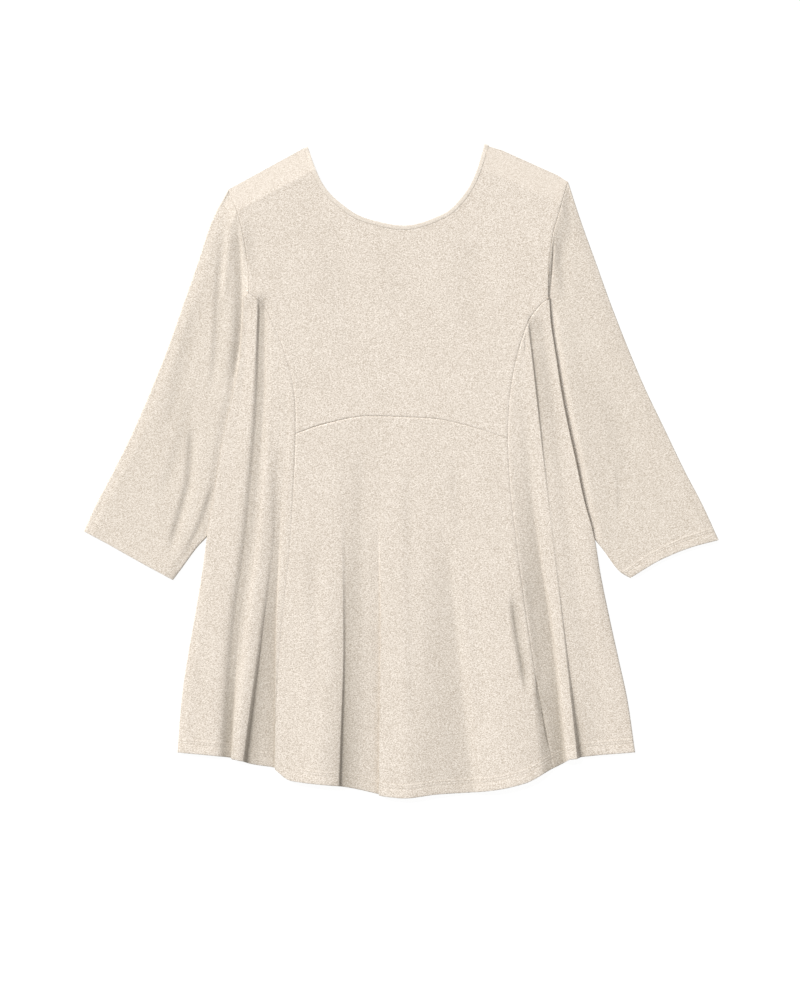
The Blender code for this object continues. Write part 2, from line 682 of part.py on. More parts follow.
def back_side(side):
    """Side edge of the back, clear of the sleeve that lies beside it."""
    inward = 1.0 if side == "left" else -1.0
    sleeve = smooth_curve([p[1] for p in sleeve_inner_points(side)],
                          [p[0] for p in sleeve_inner_points(side)])
    top_y, hem_y = BACK_SIDE_ENDS
    points = []
    for k in range(BACK_SIDE_STEPS + 1):
        y = top_y + (hem_y - top_y) * k / BACK_SIDE_STEPS
        body = side_curves[side + "_x"](y) + inward * BACK_INSET
        x = body
        if y > SLEEVE_INNER_END[side][0][1]:
            beside_sleeve = sleeve(y) + inward * BACK_SLEEVE_GAP
            x = max(body, beside_sleeve) if side == "left" else min(body, beside_sleeve)
        points.append((x, y))
    return points


def add_back():
    """Back panel: a flat outline lying on the surface under the fronts."""
    neck = []
    for k in range(NECK_COLUMNS + 1):
        t = k / NECK_COLUMNS
        shift = BAND_BACK_SHIFT * ramp(0.0, 0.12, t) * ramp(1.0, 0.88, t)
        neck.append(neck_offset(t, BAND_WIDTH + SEAM_GAP + shift))
    outline = list(neck)
    edges = {}
    for side, inward in (("left", 1.0), ("right", -1.0)):
        armhole = stations(smooth_path(ARMHOLE[side]), 2 * ARMHOLE_ROWS)[:-1]
        shift_x, shift_y = BACK_ARMHOLE_SHIFT
        edges[side] = [(x + inward * shift_x, y + shift_y) for x, y in armhole] + back_side(side)
    outline += edges["right"]
    start, end = edges["right"][-1][0], edges["left"][-1][0]
    for k in range(1, BACK_HEM_STEPS):
        x = start + (end - start) * k / BACK_HEM_STEPS
        outline.append((x, hem_path(x) + BACK_INSET))
    outline += edges["left"][::-1]

    curve = bpy.data.curves.new("back", "CURVE")
    curve.dimensions = "2D"
    curve.fill_mode = "BOTH"
    curve.extrude = BACK_TOP / 2 * MM
    spline = curve.splines.new("POLY")
    spline.points.add(len(outline) - 1)
    for point, (x, y) in zip(spline.points, outline):
        point.co = (x * MM, y * MM, 0.0, 1.0)
    spline.use_cyclic_u = True
    curve.materials.append(cloth_material("back", COLOURS["back"]))
    piece = bpy.data.objects.new("back", curve)
    piece.location = (0.0, 0.0, BACK_TOP / 2 * MM)
    garment.objects.link(piece)
    return piece


for old in list(bpy.data.objects):
    bpy.data.objects.remove(old)

garment = bpy.data.collections.new("swing_top")
bpy.context.scene.collection.children.link(garment)

add_back()
add_bodice()
add_skirt()
for wearer_side in ("left", "right"):
    add_side_front(wearer_side)
    add_sleeve(wearer_side)
add_neck_band()
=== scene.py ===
"""Dressed swing top: heathered jersey, laid flat on a pale floor and seen from above.

Each CAD panel is replaced by a finer one on the same outline. Lengths in the tables are
millimetres. The hem lies towards -Y, the neck towards +Y, and z is the height off the floor.
"""

import math

import bpy
import numpy as np
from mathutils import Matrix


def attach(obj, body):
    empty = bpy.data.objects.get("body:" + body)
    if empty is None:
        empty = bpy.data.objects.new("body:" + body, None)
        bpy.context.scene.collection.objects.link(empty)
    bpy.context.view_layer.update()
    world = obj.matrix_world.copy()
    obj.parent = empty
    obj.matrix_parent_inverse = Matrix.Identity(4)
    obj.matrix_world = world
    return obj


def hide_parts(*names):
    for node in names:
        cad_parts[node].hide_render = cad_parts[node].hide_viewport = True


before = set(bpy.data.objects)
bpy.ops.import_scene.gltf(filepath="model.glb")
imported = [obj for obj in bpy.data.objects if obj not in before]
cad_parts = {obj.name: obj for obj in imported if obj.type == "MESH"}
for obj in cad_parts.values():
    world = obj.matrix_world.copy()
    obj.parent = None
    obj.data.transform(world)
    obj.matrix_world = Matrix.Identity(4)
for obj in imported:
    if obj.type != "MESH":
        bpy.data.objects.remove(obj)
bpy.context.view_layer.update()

MM = 0.001

# Cloth and seams
CLOTH = 0.8
SEAM_GAP = 0.06
SEAM_DEPTH = 0.85
SEAM_HALF = 0.75
ALLOWANCE_RISE = 0.12
ALLOWANCE_FROM = (0.6, 2.2)
ALLOWANCE_TO = (8.5, 6.5)
BACK_TOP = 1.2
FRONT_LOWEST = 2.5
CHEST_HEIGHT = 7.4

# Turned hems and cuffs
HEM_WIDTH = 15.6
HEM_RISE = 0.35
HEM_EXTRA_CLOTH = 0.6
HEM_EDGE_DROP = 0.45
HEM_EDGE_WIDTH = 1.1
STITCH_ROWS = (11.2, 14.2)
STITCH_DENT = 0.22
STITCH_DENT_HALF = 0.9

# Stitches: pitch, length, radius and lift off the cloth, and along each one its stations'
# place, size and sink
HEM_STITCH = (3.1, 2.5, 0.2, 0)
NECK_STITCH = (2.9, 2.3, 0.2, 0.05)
STITCH_STATIONS = ((-0.5, 0.25, 0.9), (-0.38, 0.85, 0.25), (0, 1, 0), (0.38, 0.85, 0.25),
                   (0.5, 0.25, 0.9))
NECK_STITCH_INSET = 1.1
NECK_STITCH_SINK = 0.12
STITCHED_SPAN = (0.02, 0.98)
STITCH_MARGIN = 0.8

# Shoulders
SHOULDER_BAND = 28.5
SHOULDER_EDGE = 2.6
SHOULDER_BOW = 2
CALM_REACH = (36.5, 16.5)

# Side edges
EDGE_ROLL = 11
EDGE_ROLL_POWER = 2.2
UNDERARM_FADE = (236, 204)
CURL_LEVELS = (-110, -60)
CURL_RADII = (2.2, 0.8)
CURL_STEPS = 6
CURL_TURN = 0.56
CURL_CLEARANCE = 0.15
BACK_INSET = 1

# Neck binding
BAND_WIDTH = 5.6
BAND_WALL = 1
BAND_HALF_HEIGHT = 0.5
BAND_HALF_GAP = 0.08
BAND_ROUNDING = (0.55, 0.8)
BAND_CLEARANCE = 0.15
BAND_BACK_SHIFT = 1.5
BAND_BACK_FADE = 0.12
BAND_PROUD = 0.35
BAND_END_RISE = 0.4
BAND_END_FADE = 0.05
BAND_TURN_STEPS = 9
NECK_STEP = 0.002

# Sleeves
SLEEVE_HEIGHT = 4.8
SLEEVE_EDGE = 3.8
SLEEVE_EDGE_WIDTH = 14
SLEEVE_HEAD_REACH = 0.35
SLEEVE_ALLOWANCE = 0.4
SLEEVE_HEAD_LENGTH = 48
SLEEVE_HEAD_MARGIN = 0.05
SLEEVE_HEAD_SINK = 0.1
SLEEVE_TUCK_HEIGHT = 4.1
SLEEVE_TUCK_FROM = {"left": (0.93, 1), "right": (0.78, 1)}
BACK_SLEEVE_GAP = 0.5
BACK_ARMHOLE_SHIFT = (1, -1.2)
BACK_SIDE_ENDS = (204, -336)
INWARD = {"left": 1, "right": -1}

# Shares of an edge: shoulder of the top, yoke seam of the side, and body side of the back's
BODICE_SHOULDER = 4 / 30
BACK_SHOULDER = 0.16
BODICE_YOKE = 8 / 14
SIDE_SKIRT = 15 / 23
BACK_BODY = 0.8

# Outline of the garment as it lies, each row a point (x, y)
SHOULDER_TIP = {"left": (-207.6, 336.6), "right": (200.4, 346.2)}
NECK_EDGE = (
    (-111.6, 388.2), (-102, 360.6), (-91.5, 340), (-73.2, 321), (-44.4, 303),
    (3.6, 293.4), (51.6, 307.8), (71.5, 325.8), (82.5, 341.5), (91, 361), (99.6, 390.6),
)
ARMHOLE = {
    "left": ((-207.6, 336.6), (-195.6, 307.5), (-187, 270.6), (-183, 235), (-182.4, 212.6)),
    "right": ((200.4, 346.2), (190.8, 313.8), (181.2, 278), (177, 240), (176.4, 206)),
}
YOKE_SEAM = {
    "left": ((-182.4, 212.6), (-167, 200), (-153, 174.5), (-131, 110),
             (-126.4, 74), (-126, 44)),
    "right": ((176.4, 206), (167, 198), (152.5, 178), (133, 109),
              (129, 74), (127.6, 38)),
}
SKIRT_SEAM = {
    "left": ((-126, 44), (-128.4, -20), (-133.2, -107), (-140.4, -203), (-149, -357)),
    "right": ((127.6, 38), (129.8, -8), (141, -107), (161.3, -245), (182.4, -357)),
}
EMPIRE_SEAM = ((-126, 44), (-93, 55.2), (-39.6, 65), (36, 62.3), (84, 52.4), (127.6, 38))
HEM = (
    (-267.6, -337.8), (-207.6, -343.8), (-178.8, -352), (-149, -357), (-128, -371.4),
    (-63.6, -379.8), (-10, -391), (3.6, -392.5), (42, -388.2), (99.6, -384.6),
    (147.6, -375), (182.4, -357), (214.8, -343.8), (280.8, -337.8),
)

# Body sides: height up the garment, x of each edge, how high each edge rides on what is
# under it, and how far the sleeve reaches in below it
SIDE_NAMES = ("y", "left_x", "right_x", "left_z", "right_z", "tuck")
SIDE_ROWS = (
    (208, -188.8, 177.8, 5.5, 7.2, 5.6),
    (180, -189.8, 179.5, 5.5, 7.3, 7),
    (136, -193.2, 186, 5.5, 7.5, 7),
    (94, -200.8, 192.4, 5.6, 7.7, 7),
    (52, -210.2, 200.6, 5.6, 7.8, 7),
    (12, -217.6, 209.4, 5.6, 7.8, 7),
    (-35, -225, 219.4, 5.6, 7.4, 7),
    (-70, -231.2, 229.2, 5.5, 6.4, 5),
    (-86, -233.6, 233, 5.2, 5.6, 0),
    (-122, -238.6, 238.9, 4.2, 4.4, 0),
    (-180, -248.2, 250.8, 3.8, 4, 0),
    (-227, -256.4, 261.2, 3.8, 4, 0),
    (-275, -263.2, 271.6, 3.8, 4, 0),
    (-338, -268.2, 280.8, 3.8, 4, 0),
)
UNDERARM_Y = SIDE_ROWS[0][0]
SIDE_FOOT = dict(zip(SIDE_NAMES, SIDE_ROWS[-1]))

# Sleeve beside the body's edge: height and place of its crest, its half-widths inwards and
# outwards, and the same for the dip before it. Both fade out at the top and at the foot, and
# the right ones are strongest at the waist.
BESIDE_LEVELS = (-122, 208)
BESIDE_TOP = (214, 170)
BESIDE_FOOT = (-100, -60)
BESIDE_WAIST = 30
BESIDE_WAIST_REACH = (75, 90)
BESIDE_LEAST = 0.45
BESIDE_NAMES = ("crest", "crest_at", "crest_in", "crest_out", "dip", "dip_at", "dip_in", "dip_out")
BESIDE_ROWS = {
    "left": (0.4, 10, 5, 16, 0.8, 0.5, 3, 7),
    "right": (1.2, 10.5, 4, 18, 3, 2.4, 5, 3.8),
}

# Sleeve outlines: height, and x of each outer edge
SLEEVE_OUTER_NAMES = ("y", "left_x", "right_x")
SLEEVE_OUTER_ROWS = (
    (300, -226.5, 215.5),
    (250, -243.5, 233.5),
    (200, -261, 251.5),
    (150, -278.5, 271),
    (100, -298.5, 292),
    (50, -320, 316),
    (0, -344.5, 340),
    (-40, -365.5, 361),
)
CUFF = {
    "left": ((-380.4, -72.8), (-351.6, -88.2), (-313.2, -109.8), (-273.4, -131.4)),
    "right": ((381, -83.4), (349.2, -91.8), (310.8, -107.4), (274.8, -129)),
}
SLEEVE_INNER_END = {
    "left": ((-246, -94.2), (-265.2, -120.6)),
    "right": ((243.6, -97), (262.8, -121.8)),
}

# Long folds of the body, from its left side to its right: each line's x and height z at
# five levels down the garment, how far it leans to the right at the hem, and whether the
# cloth turns sharply there. FOLD_FADE is where they fade out upwards, on either half, and
# LEAN_SHARE how much of its lean a line has at each level.
FOLD_LEVELS = (190, 100, -60, -204, -330)
FOLD_FADE = {"left": (214, 190), "right": (190, 164)}
LEAN_SHARE = (0, 0, 0.15, 0.78, 1)
FOLD_NAMES = ("line", "x_yoke", "x_chest", "x_waist", "x_knee", "x_hem",
              "z_yoke", "z_chest", "z_waist", "z_knee", "z_hem", "lean", "sharp")
FOLD_LINES = (
    ("side_left", -184, -190, -218, -238, -252, 5.7, 5.8, 6.2, 6.4, 6.4, 0, 0),
    ("lobe_a", -177, -182, -199, -221, -231, 6.6, 6.6, 6.9, 7.3, 7.7, 0, 0),
    ("brow_a", -172.4, -177, -191.5, -210.5, -220, 6.9, 6.8, 6.9, 7.1, 7.4, 0, 0),
    ("valley_a", -169.6, -171.4, -183.5, -201, -209.5, 4.2, 4.3, 4.8, 4.7, 4.2, 0, 1),
    ("floor_a", -164.2, -165.2, -177.5, -196.5, -203.5, 4.2, 4.3, 4.8, 4.7, 3.4, 0, 1),
    ("under_b", -159.6, -160.4, -171.5, -189.5, -198.4, 6.1, 6.1, 5.6, 5.7, 9.9, -2.6, 1),
    ("ridge_b", -153, -154.4, -165.5, -182.5, -194.6, 7, 7, 7.2, 8.5, 10.4, 0, 0),
    ("brow_c", -144, -147.5, -161, -178, -192, 7.2, 7.1, 7, 8.3, 10.1, 0.2, 0),
    ("lip_c", -142, -144.5, -156, -172.8, -189, 7.3, 7.2, 6.4, 7.4, 9, 2.2, 1),
    ("wall_c", -141, -143, -153, -169.6, -186.4, 7.4, 7.2, 6, 6.2, 6.8, 1.4, 1),
    ("foot_c", -140, -141.5, -149.8, -166, -181.5, 7.4, 7.3, 5.6, 4.6, 3.6, 0, 1),
    ("floor_c", -136.5, -137.5, -145.5, -150.2, -151, 7.4, 7.3, 5.6, 3.6, 2.8, 0, 1),
    ("under_c", -134.5, -135, -140.5, -146, -146.2, 7.4, 7.3, 6.5, 7.3, 8.8, -4.4, 1),
    ("rise_c", -132, -133, -136, -142.2, -142.4, 7.4, 7.4, 6.9, 7.3, 8.8, -5.2, 1),
    ("crest_d", -103, -103.2, -102, -99, -101, 7.4, 7.4, 7.4, 8.9, 11, 0, 0),
    ("brow_e", -80, -80, -79, -80.5, -84.5, 7.4, 7.4, 7.3, 8, 10, 0.4, 0),
    ("lip_e", -74, -74, -71.6, -71.6, -76, 7.4, 7.4, 7.1, 7.3, 8.8, 2.8, 1),
    ("wall_e", -71, -71, -68.8, -69, -73, 7.4, 7.4, 6.9, 6.2, 6.8, 1.4, 1),
    ("foot_e", -68, -68, -65.8, -65.8, -70, 7.4, 7.4, 6.8, 5.3, 5.2, 0, 1),
    ("floor_e", -30, -30, -28, -24.5, -26, 7.4, 7.4, 6.6, 4.3, 4, 0, 1),
    ("under_e", -26, -26, -24.5, -20.8, -21.4, 7.4, 7.4, 6.8, 7.2, 8.5, -4.6, 1),
    ("rise_e", -22, -22, -19, -14.6, -15, 7.4, 7.4, 7.1, 7.5, 8.8, -5.4, 1),
    ("crest_g", -6, -6, -2, 3.4, 5, 7.4, 7.4, 7.3, 7.8, 9.2, 0, 0),
    ("slope_g", 12, 12, 12, 13, 12, 7.4, 7.4, 7.3, 7.7, 8.9, 0, 0),
    ("valley_h", 34, 34, 34, 40, 44, 7.4, 7.4, 7, 6.2, 6.9, 0, 0),
    ("foot_h", 52.8, 52.8, 53, 66, 78, 7.4, 7.4, 6.8, 4.9, 4.9, 0, 0),
    ("under_h", 57, 57, 60, 72, 86, 7.4, 7.4, 6.9, 5.9, 6.2, -1, 0),
    ("rise_h", 66, 66, 70, 82, 96, 7.4, 7.4, 7.1, 7, 8.1, -2, 0),
    ("crest_i", 92, 94.4, 97.4, 107, 118, 7.4, 7.4, 7.3, 7.6, 9, 0, 0),
    ("shoulder_i", 115, 117, 121, 130, 141, 7.4, 7.4, 7.2, 7.5, 8.7, 0, 0),
    ("side_j", 126, 127, 131.5, 150, 163, 7.4, 7.4, 7.1, 7.2, 7.9, 0, 1),
    ("floor_j", 133, 136, 147, 162, 176, 7.4, 7.4, 6.1, 4.2, 4.6, 0, 0),
    ("core_j", 139, 144, 159, 180.5, 193, 7.4, 7.3, 5.2, 2.7, 2.6, 0, 1),
    ("under_k", 143, 149, 165, 187.2, 201, 7.4, 7.3, 6.4, 6.6, 9.3, -3.6, 1),
    ("rise_k", 145.5, 152.5, 169.5, 190.4, 204.2, 7.4, 7.4, 6.9, 7.4, 10, -4.2, 1),
    ("brow_k", 148, 156.5, 173.6, 192.4, 205.8, 7.4, 7.4, 7.2, 7.8, 10.3, 0, 0),
    ("lip_k", 150.4, 160.6, 178, 194.2, 207.6, 7.4, 7.4, 7.2, 7.7, 10, 1.6, 1),
    ("wall_k", 151.3, 161.6, 179.2, 195.4, 209.4, 6.4, 6, 7, 6.9, 7.2, 1.6, 1),
    ("foot_l", 152.3, 162.7, 180.4, 197.8, 215, 5.5, 5, 6.8, 6, 3.8, 0, 1),
    ("shelf_l", 158, 168, 186, 204, 224, 5.8, 5.5, 6.6, 5.9, 5, 0, 0),
    ("valley_n", 165, 177, 198, 220, 243, 5.8, 5.3, 6.1, 5.3, 4.8, 0, 0),
    ("ridge_n", 171, 185.6, 209, 236, 257, 6.6, 6.4, 6.8, 5.3, 4.7, 0, 0),
    ("side_right", 175, 188.5, 216, 245, 268, 7, 7, 7, 5, 4.4, 0, 0),
)

# Short creases and soft troughs of the front and of each sleeve: points (x, y) down each
# one, its depth (below 0 for a ridge), its half-width to the left and to the right, and the
# length over which each end fades
CREASE_NAMES = ("path", "depth", "left", "right", "fade")
CREASES = {
    "front": (
        (((129.6, -143), (137.4, -203), (142.8, -229), (150, -272)), 2.6, 0.9, 12, 34),
        (((161, -240), (164, -272), (168, -310)), 0.9, 0.8, 4.2, 16),
        (((168, -280), (171, -300), (177.6, -336)), 0.8, 0.8, 2.6, 12),
        (((148.2, 166), (149, 139)), 0.6, 0.9, 2.2, 9),
        (((-155, 90), (-152, -20), (-149, -120)), 0.5, 4, 8, 50),
        (((-108, -70), (-104, -180), (-101, -340)), 0.7, 7, 12, 60),
        (((-46, 40), (-50, -60), (-52, -200)), 0.5, 9, 10, 50),
        (((8, 20), (10, -120), (14, -330)), 0.5, 6, 12, 60),
        (((62, 30), (70, -60), (92, -200), (98, -330)), 0.5, 8, 9, 60),
        (((-90, 300), (-70, 210), (-64, 120)), 0.35, 18, 22, 50),
        (((96, 300), (84, 220), (80, 130)), 0.35, 20, 18, 50),
        (((6, 270), (4, 210), (0, 150)), 0.25, 26, 24, 40),
        (((-184, 306), (-184, 262), (-184, 210)), 1.1, 6, 15, 44),
    ),
    "left": (
        (((-196.5, 306), (-193.5, 262), (-191.5, 215), (-193, 166), (-204, 92)), 1.9, 7.5, 2.6, 44),
        (((-213, 292), (-219, 220), (-222, 150), (-229, 80)), 1, 4, 8, 60),
        (((-205, 300), (-208, 260), (-214, 190)), -0.9, 4, 5, 40),
        (((-250, 60), (-254, -10), (-261, -40), (-271, -75), (-277, -104)), 1.6, 4.5, 6, 34),
        (((-222, -10), (-238, -58), (-252, -90), (-263, -116)), 1.3, 4, 6, 30),
        (((-238, 220), (-262, 120), (-286, 20)), 0.7, 9, 12, 60),
        (((-246, 110), (-262, 40), (-292, -50)), 0.6, 8, 10, 50),
    ),
    "right": (
        (((183.5, 284), (181.6, 255), (180, 228), (178.6, 206)), 1.3, 0.7, 1.6, 30),
        (((190, 292), (193, 240), (197, 190)), 0.9, 5, 7, 40),
        (((236, 120), (258, 40), (276, -30)), 0.5, 12, 14, 60),
        (((256, 10), (262, -30), (258, -60)), 0.5, 2.5, 7, 22),
    ),
}

# How strongly each long seam shows: the height or the x of a place on it, and its share
SEAM_SHOWN = {
    "left": ((336, 0.5), (300, 0.55), (235, 0.5), (214, 0.55), (200, 0.7), (184, 0.3),
             (150, 0.1), (118, 0.14), (100, 0.55), (44, 0.65), (0, 0.5), (-60, 0.25),
             (-110, 0.1), (-357, 0.12)),
    "right": ((346, 0.5), (300, 0.6), (240, 0.6), (206, 0.5), (150, 0.4), (38, 0.4),
              (-60, 0.4), (-150, 0.45), (-260, 0.45), (-357, 0.3)),
    "empire": ((-126, 1), (-95, 0.85), (-50, 0.75), (0, 1), (40, 0.8), (90, 0.6),
               (127, 0.45)),
}

# How finely each piece is divided
BODICE_COLUMNS = 210
BODICE_WIDTH = 330
BODICE_ROWS = 190
BODICE_LENGTH = 300
SKIRT_COLUMNS = 200
SKIRT_ROWS = 215
SKIRT_LENGTH = 420
SIDE_COLUMNS = 96
SIDE_ROW_COUNT = 280
SIDE_LENGTH = 570
SLEEVE_ROWS = 230
SLEEVE_TOP_COLUMNS = 92
SLEEVE_BOTTOM_COLUMNS = 26
SLEEVE_TURN_STEPS = 9
BACK_COLUMNS = 72
BACK_ROWS = 100
BACK_LENGTH = 700
BACK_STEPS = (0.3, 0.8, 1.6)
BAND_STEPS = 190
SEAM_STEPS = (0.3, 0.6, 0.9, 1.3, 1.8, 2.5)
HEM_STEPS = (0.25, 0.6, 1.1, 2, 9.6, 10.2, 10.7, 11.2, 11.7, 12.2, 12.8, 13.3, 13.8, 14.2, 14.7,
             15.2, 15.8, 16.6, 17.6)
CROWDING = 5
CROWD_WIDTH = 4.2
CROWD_LEVELS = (200, -60)

# Shade painted into the front's colour beside a higher fold: how far off that fold is (above 0
# to the left, below 0 to the right), and the share for each millimetre of its height. TURNED_SHARE
# paints shade on slopes that face left, LEE_MOST is the most in all, and it fades in below the shoulders
# over LEE_AWAY.
LEE_NAMES = ("reach", "share")
LEE_ROWS = (
    (2.25, 0.0288),
    (4.5, 0.0264),
    (7.5, 0.0240),
    (12, 0.0180),
    (18, 0.0156),
    (25.5, 0.0168),
    (37.5, 0.0108),
    (-3, 0.0144),
    (-6, 0.0144),
    (-10.5, 0.0120),
    (-15, 0.0096),
)
TURNED_REACH = 3
TURNED_SHARE = 0.044
LEE_MOST = 0.42
LEE_AWAY = (24.5, 52.5)
LEE_X = (-300, 300)
LEE_Y = (-400, 400)
LEE_STEP_X = 0.75
LEE_STEP_Y = 4

# Shade painted into the colour in a sleeve's creases, for each millimetre of their depth,
# and on the curled side edges
SLEEVE_LEE = 0.1
EDGE_LEE = 0.22

# Jersey colours, and how its flecks, mottling and slow drift spread them
BODY = (0.725, 0.652, 0.574)
# The sleeves are the body's colour a little darker, the right one most: painted shade
LEFT_SLEEVE = (0.712, 0.641, 0.562)
RIGHT_SLEEVE = (0.690, 0.621, 0.544)
BINDING = (0.755, 0.684, 0.604)
THREAD = (0.63, 0.565, 0.49)
# Colour towards which the painted fold shade darkens the jersey
PAINTED_SHADE_COLOUR = (0.11, 0.1, 0.05, 1.0)
FLECK_SHIFT = 0.205
FLECK_GAIN = 2.75
MOTTLE_GAIN = 0.5
DRIFT_GAIN = 0.16
SHOULDER_CALM = 0.45
NOISE_TILT = (0.62, 0.41)

# Layers of noise: stretch along each axis, scale, detail and roughness
FLECKS = ((0.62, 1.0, 1.0), 1100.0, 1.0, 0.6)
MOTTLE = ((0.7, 1.0, 1.0), 480.0, 2.0, 0.6)
DRIFT = ((1.0, 0.6, 1.0), 26.0, 2.0, 0.5)
NAP = ((1.0, 1.0, 1.0), 1700.0, 2.0, 0.6)
BUMP_DISTANCE = 0.0004

# Places of the colour sockets on a mix node
MIX_FIRST = 6
MIX_SECOND = 7
MIX_RESULT = 2

# Floor, light and camera, in metres and degrees
FLOOR_SIZE = 12.0
FLOOR_DROP = 0.0004
SKY_COLOUR = (1.0, 0.995, 0.985, 1.0)
SKY_STRENGTH = 0.405
KEY_AZIMUTH = 43.0
KEY_ELEVATION = 37.0
KEY_WIDTH = 26.0
KEY_STRENGTH = 3.8
KEY_COLOUR = (1.0, 0.99, 0.97)
CAMERA_PLACE = (-0.0012, -0.0354, 3.0)
CAMERA_LENS = 90.0


# Curves and surfaces

def column(rows, names, wanted):
    return np.array([row[names.index(wanted)] for row in rows], float)


def curve_at(knots, values, x):
    """Monotone cubic at x. Knots and values run down their first axis, one column a point."""
    steps = np.diff(knots, axis=0)
    slopes = np.diff(values, axis=0) / steps
    before, after = slopes[:-1], slopes[1:]
    same_way = before * after > 0.0
    total = np.where(same_way, before + after, 1.0)
    inner = np.where(same_way, 2.0 * before * after / total, 0.0)
    tangents = np.concatenate((slopes[:1], inner, slopes[-1:]))
    place = np.clip(np.sum(x >= knots, axis=0) - 1, 0, len(knots) - 2)[None]

    def pick(table, offset=0):
        return np.take_along_axis(table, place + offset, axis=0)[0]

    h = pick(steps)
    t = (x - pick(knots)) / h
    inside = ((1 + 2 * t) * (1 - t) ** 2 * pick(values) + t * (1 - t) ** 2 * h * pick(tangents)
              + t * t * (3 - 2 * t) * pick(values, 1) + t * t * (t - 1) * h * pick(tangents, 1))
    below = pick(values) + pick(tangents) * t * h
    above = pick(values, 1) + pick(tangents, 1) * (t - 1) * h
    return np.where(t < 0.0, below, np.where(t > 1.0, above, inside))


def smooth_curve(knots, values):
    order = np.argsort(knots)
    xs = np.asarray(knots, float)[order]
    ys = np.asarray(values, float)[order]

    def value_at(x):
        x = np.asarray(x, float)
        shape = (len(xs),) + x.shape
        grown = (len(xs),) + (1,) * x.ndim
        return curve_at(np.broadcast_to(xs.reshape(grown), shape),
                        np.broadcast_to(ys.reshape(grown), shape), x)

    return value_at


def smooth_path(points):
    """Path through points (x, y), asked for by its share of the length, 0 to 1."""
    points = np.asarray(points, float)
    lengths = np.hypot(*np.diff(points, axis=0).T)
    shares = np.concatenate(([0.0], np.cumsum(lengths))) / np.sum(lengths)
    x_at = smooth_curve(shares, points[:, 0])
    y_at = smooth_curve(shares, points[:, 1])
    return lambda t: np.stack((x_at(t), y_at(t)), axis=-1)


def unit(value):
    """Value held between 0 and 1."""
    return np.clip(value, 0.0, 1.0)


def ramp(low, high, value):
    t = unit((np.asarray(value, float) - low) / (high - low))
    return t * t * (3.0 - 2.0 * t)


def between(fade, t):
    """1 along a length from 0 to 1, falling to 0 over fade at both its ends."""
    return ramp(0.0, fade, t) * ramp(1.0, 1.0 - fade, t)


def bump(offset, left, right):
    """1 at offset 0, falling away over its own width on each side."""
    return np.exp(-(offset / np.where(offset < 0.0, left, right)) ** 2)


side_curves = {
    name: smooth_curve(column(SIDE_ROWS, SIDE_NAMES, "y"), column(SIDE_ROWS, SIDE_NAMES, name))
    for name in SIDE_NAMES[1:]
}
neck_path = smooth_path(NECK_EDGE)
hem_height = smooth_curve([p[0] for p in HEM], [p[1] for p in HEM])
LEVELS = len(FOLD_LEVELS)
fold_x = [smooth_curve(FOLD_LEVELS, row[1:1 + LEVELS]) for row in FOLD_LINES]
fold_z = [smooth_curve(FOLD_LEVELS, row[1 + LEVELS:1 + 2 * LEVELS]) for row in FOLD_LINES]
fold_lean = column(FOLD_LINES, FOLD_NAMES, "lean")
fold_sharp = column(FOLD_LINES, FOLD_NAMES, "sharp")
lean_share = smooth_curve(FOLD_LEVELS, LEAN_SHARE)


def fold_section(x, y):
    """Height of the folded cloth at (x, y), and how far it leans to the right there."""
    level = np.minimum(y, FOLD_LEVELS[0])
    fade = np.where(x < 0.0, ramp(*FOLD_FADE["left"], y), ramp(*FOLD_FADE["right"], y))
    xs = np.stack([at(level) for at in fold_x])
    zs = np.stack([CHEST_HEIGHT + (at(level) - CHEST_HEIGHT) * fade for at in fold_z])
    leans = fold_lean.reshape((-1,) + (1,) * y.ndim) * unit(lean_share(level))
    held = np.clip(x, xs[0], xs[-1])
    return curve_at(xs, zs, held), curve_at(xs, np.broadcast_to(leans, xs.shape), held)


def crease_depth(part, x, y):
    total = np.zeros_like(x)
    for crease in CREASES[part]:
        row = dict(zip(CREASE_NAMES, crease))
        path = np.array(row["path"])
        line = smooth_curve(path[:, 1], path[:, 0])
        ends = (ramp(path[0, 1], path[0, 1] - row["fade"], y)
                * ramp(path[-1, 1], path[-1, 1] + row["fade"], y))
        total += row["depth"] * bump(x - line(y), row["left"], row["right"]) * ends
    return total


def shoulder_distance(x, y):
    """How far (x, y) lies below the nearer shoulder seam."""
    reach = []
    for tip, neck_point in zip(SHOULDER_TIP.values(), (NECK_EDGE[0], NECK_EDGE[-1])):
        dx, dy = neck_point[0] - tip[0], neck_point[1] - tip[1]
        reach.append(np.sign(dx) * ((x - tip[0]) * dy - (y - tip[1]) * dx) / math.hypot(dx, dy))
    return np.minimum(*reach)


def right_shoulder(start, end, share):
    """Points along the right shoulder, which bows out a little between its ends."""
    line = start * (1.0 - share) + end * share
    away = np.array((start[1] - end[1], end[0] - start[0])) / math.dist(start, end)
    return line + away * (SHOULDER_BOW * ramp(0.0, 0.18, share) * ramp(1.0, 0.84, share))


def front_surface(x, y):
    """Points of the front's outer face over plan points (x, y)."""
    x, y = np.asarray(x, float), np.asarray(y, float)
    z, lean = fold_section(x, y)
    z = z - crease_depth("front", x, y)
    at_side = ramp(*UNDERARM_FADE, y)
    level = np.minimum(y, UNDERARM_Y)
    for side, inward in INWARD.items():
        inside = inward * (x - side_curves[side + "_x"](level))
        roll = unit(1.0 - inside / EDGE_ROLL) ** EDGE_ROLL_POWER * at_side
        z = z + (side_curves[side + "_z"](level) - z) * roll
    below = np.maximum(0.0, shoulder_distance(x, y))
    z = SHOULDER_EDGE + (z - SHOULDER_EDGE) * unit(below / SHOULDER_BAND)
    return np.stack((x + lean, y, np.maximum(z, FRONT_LOWEST)), axis=-1)


def height_at(points):
    """Height of the front's outer face over plan points."""
    return front_surface(points[..., 0], points[..., 1])[..., 2]


# Grids and shells

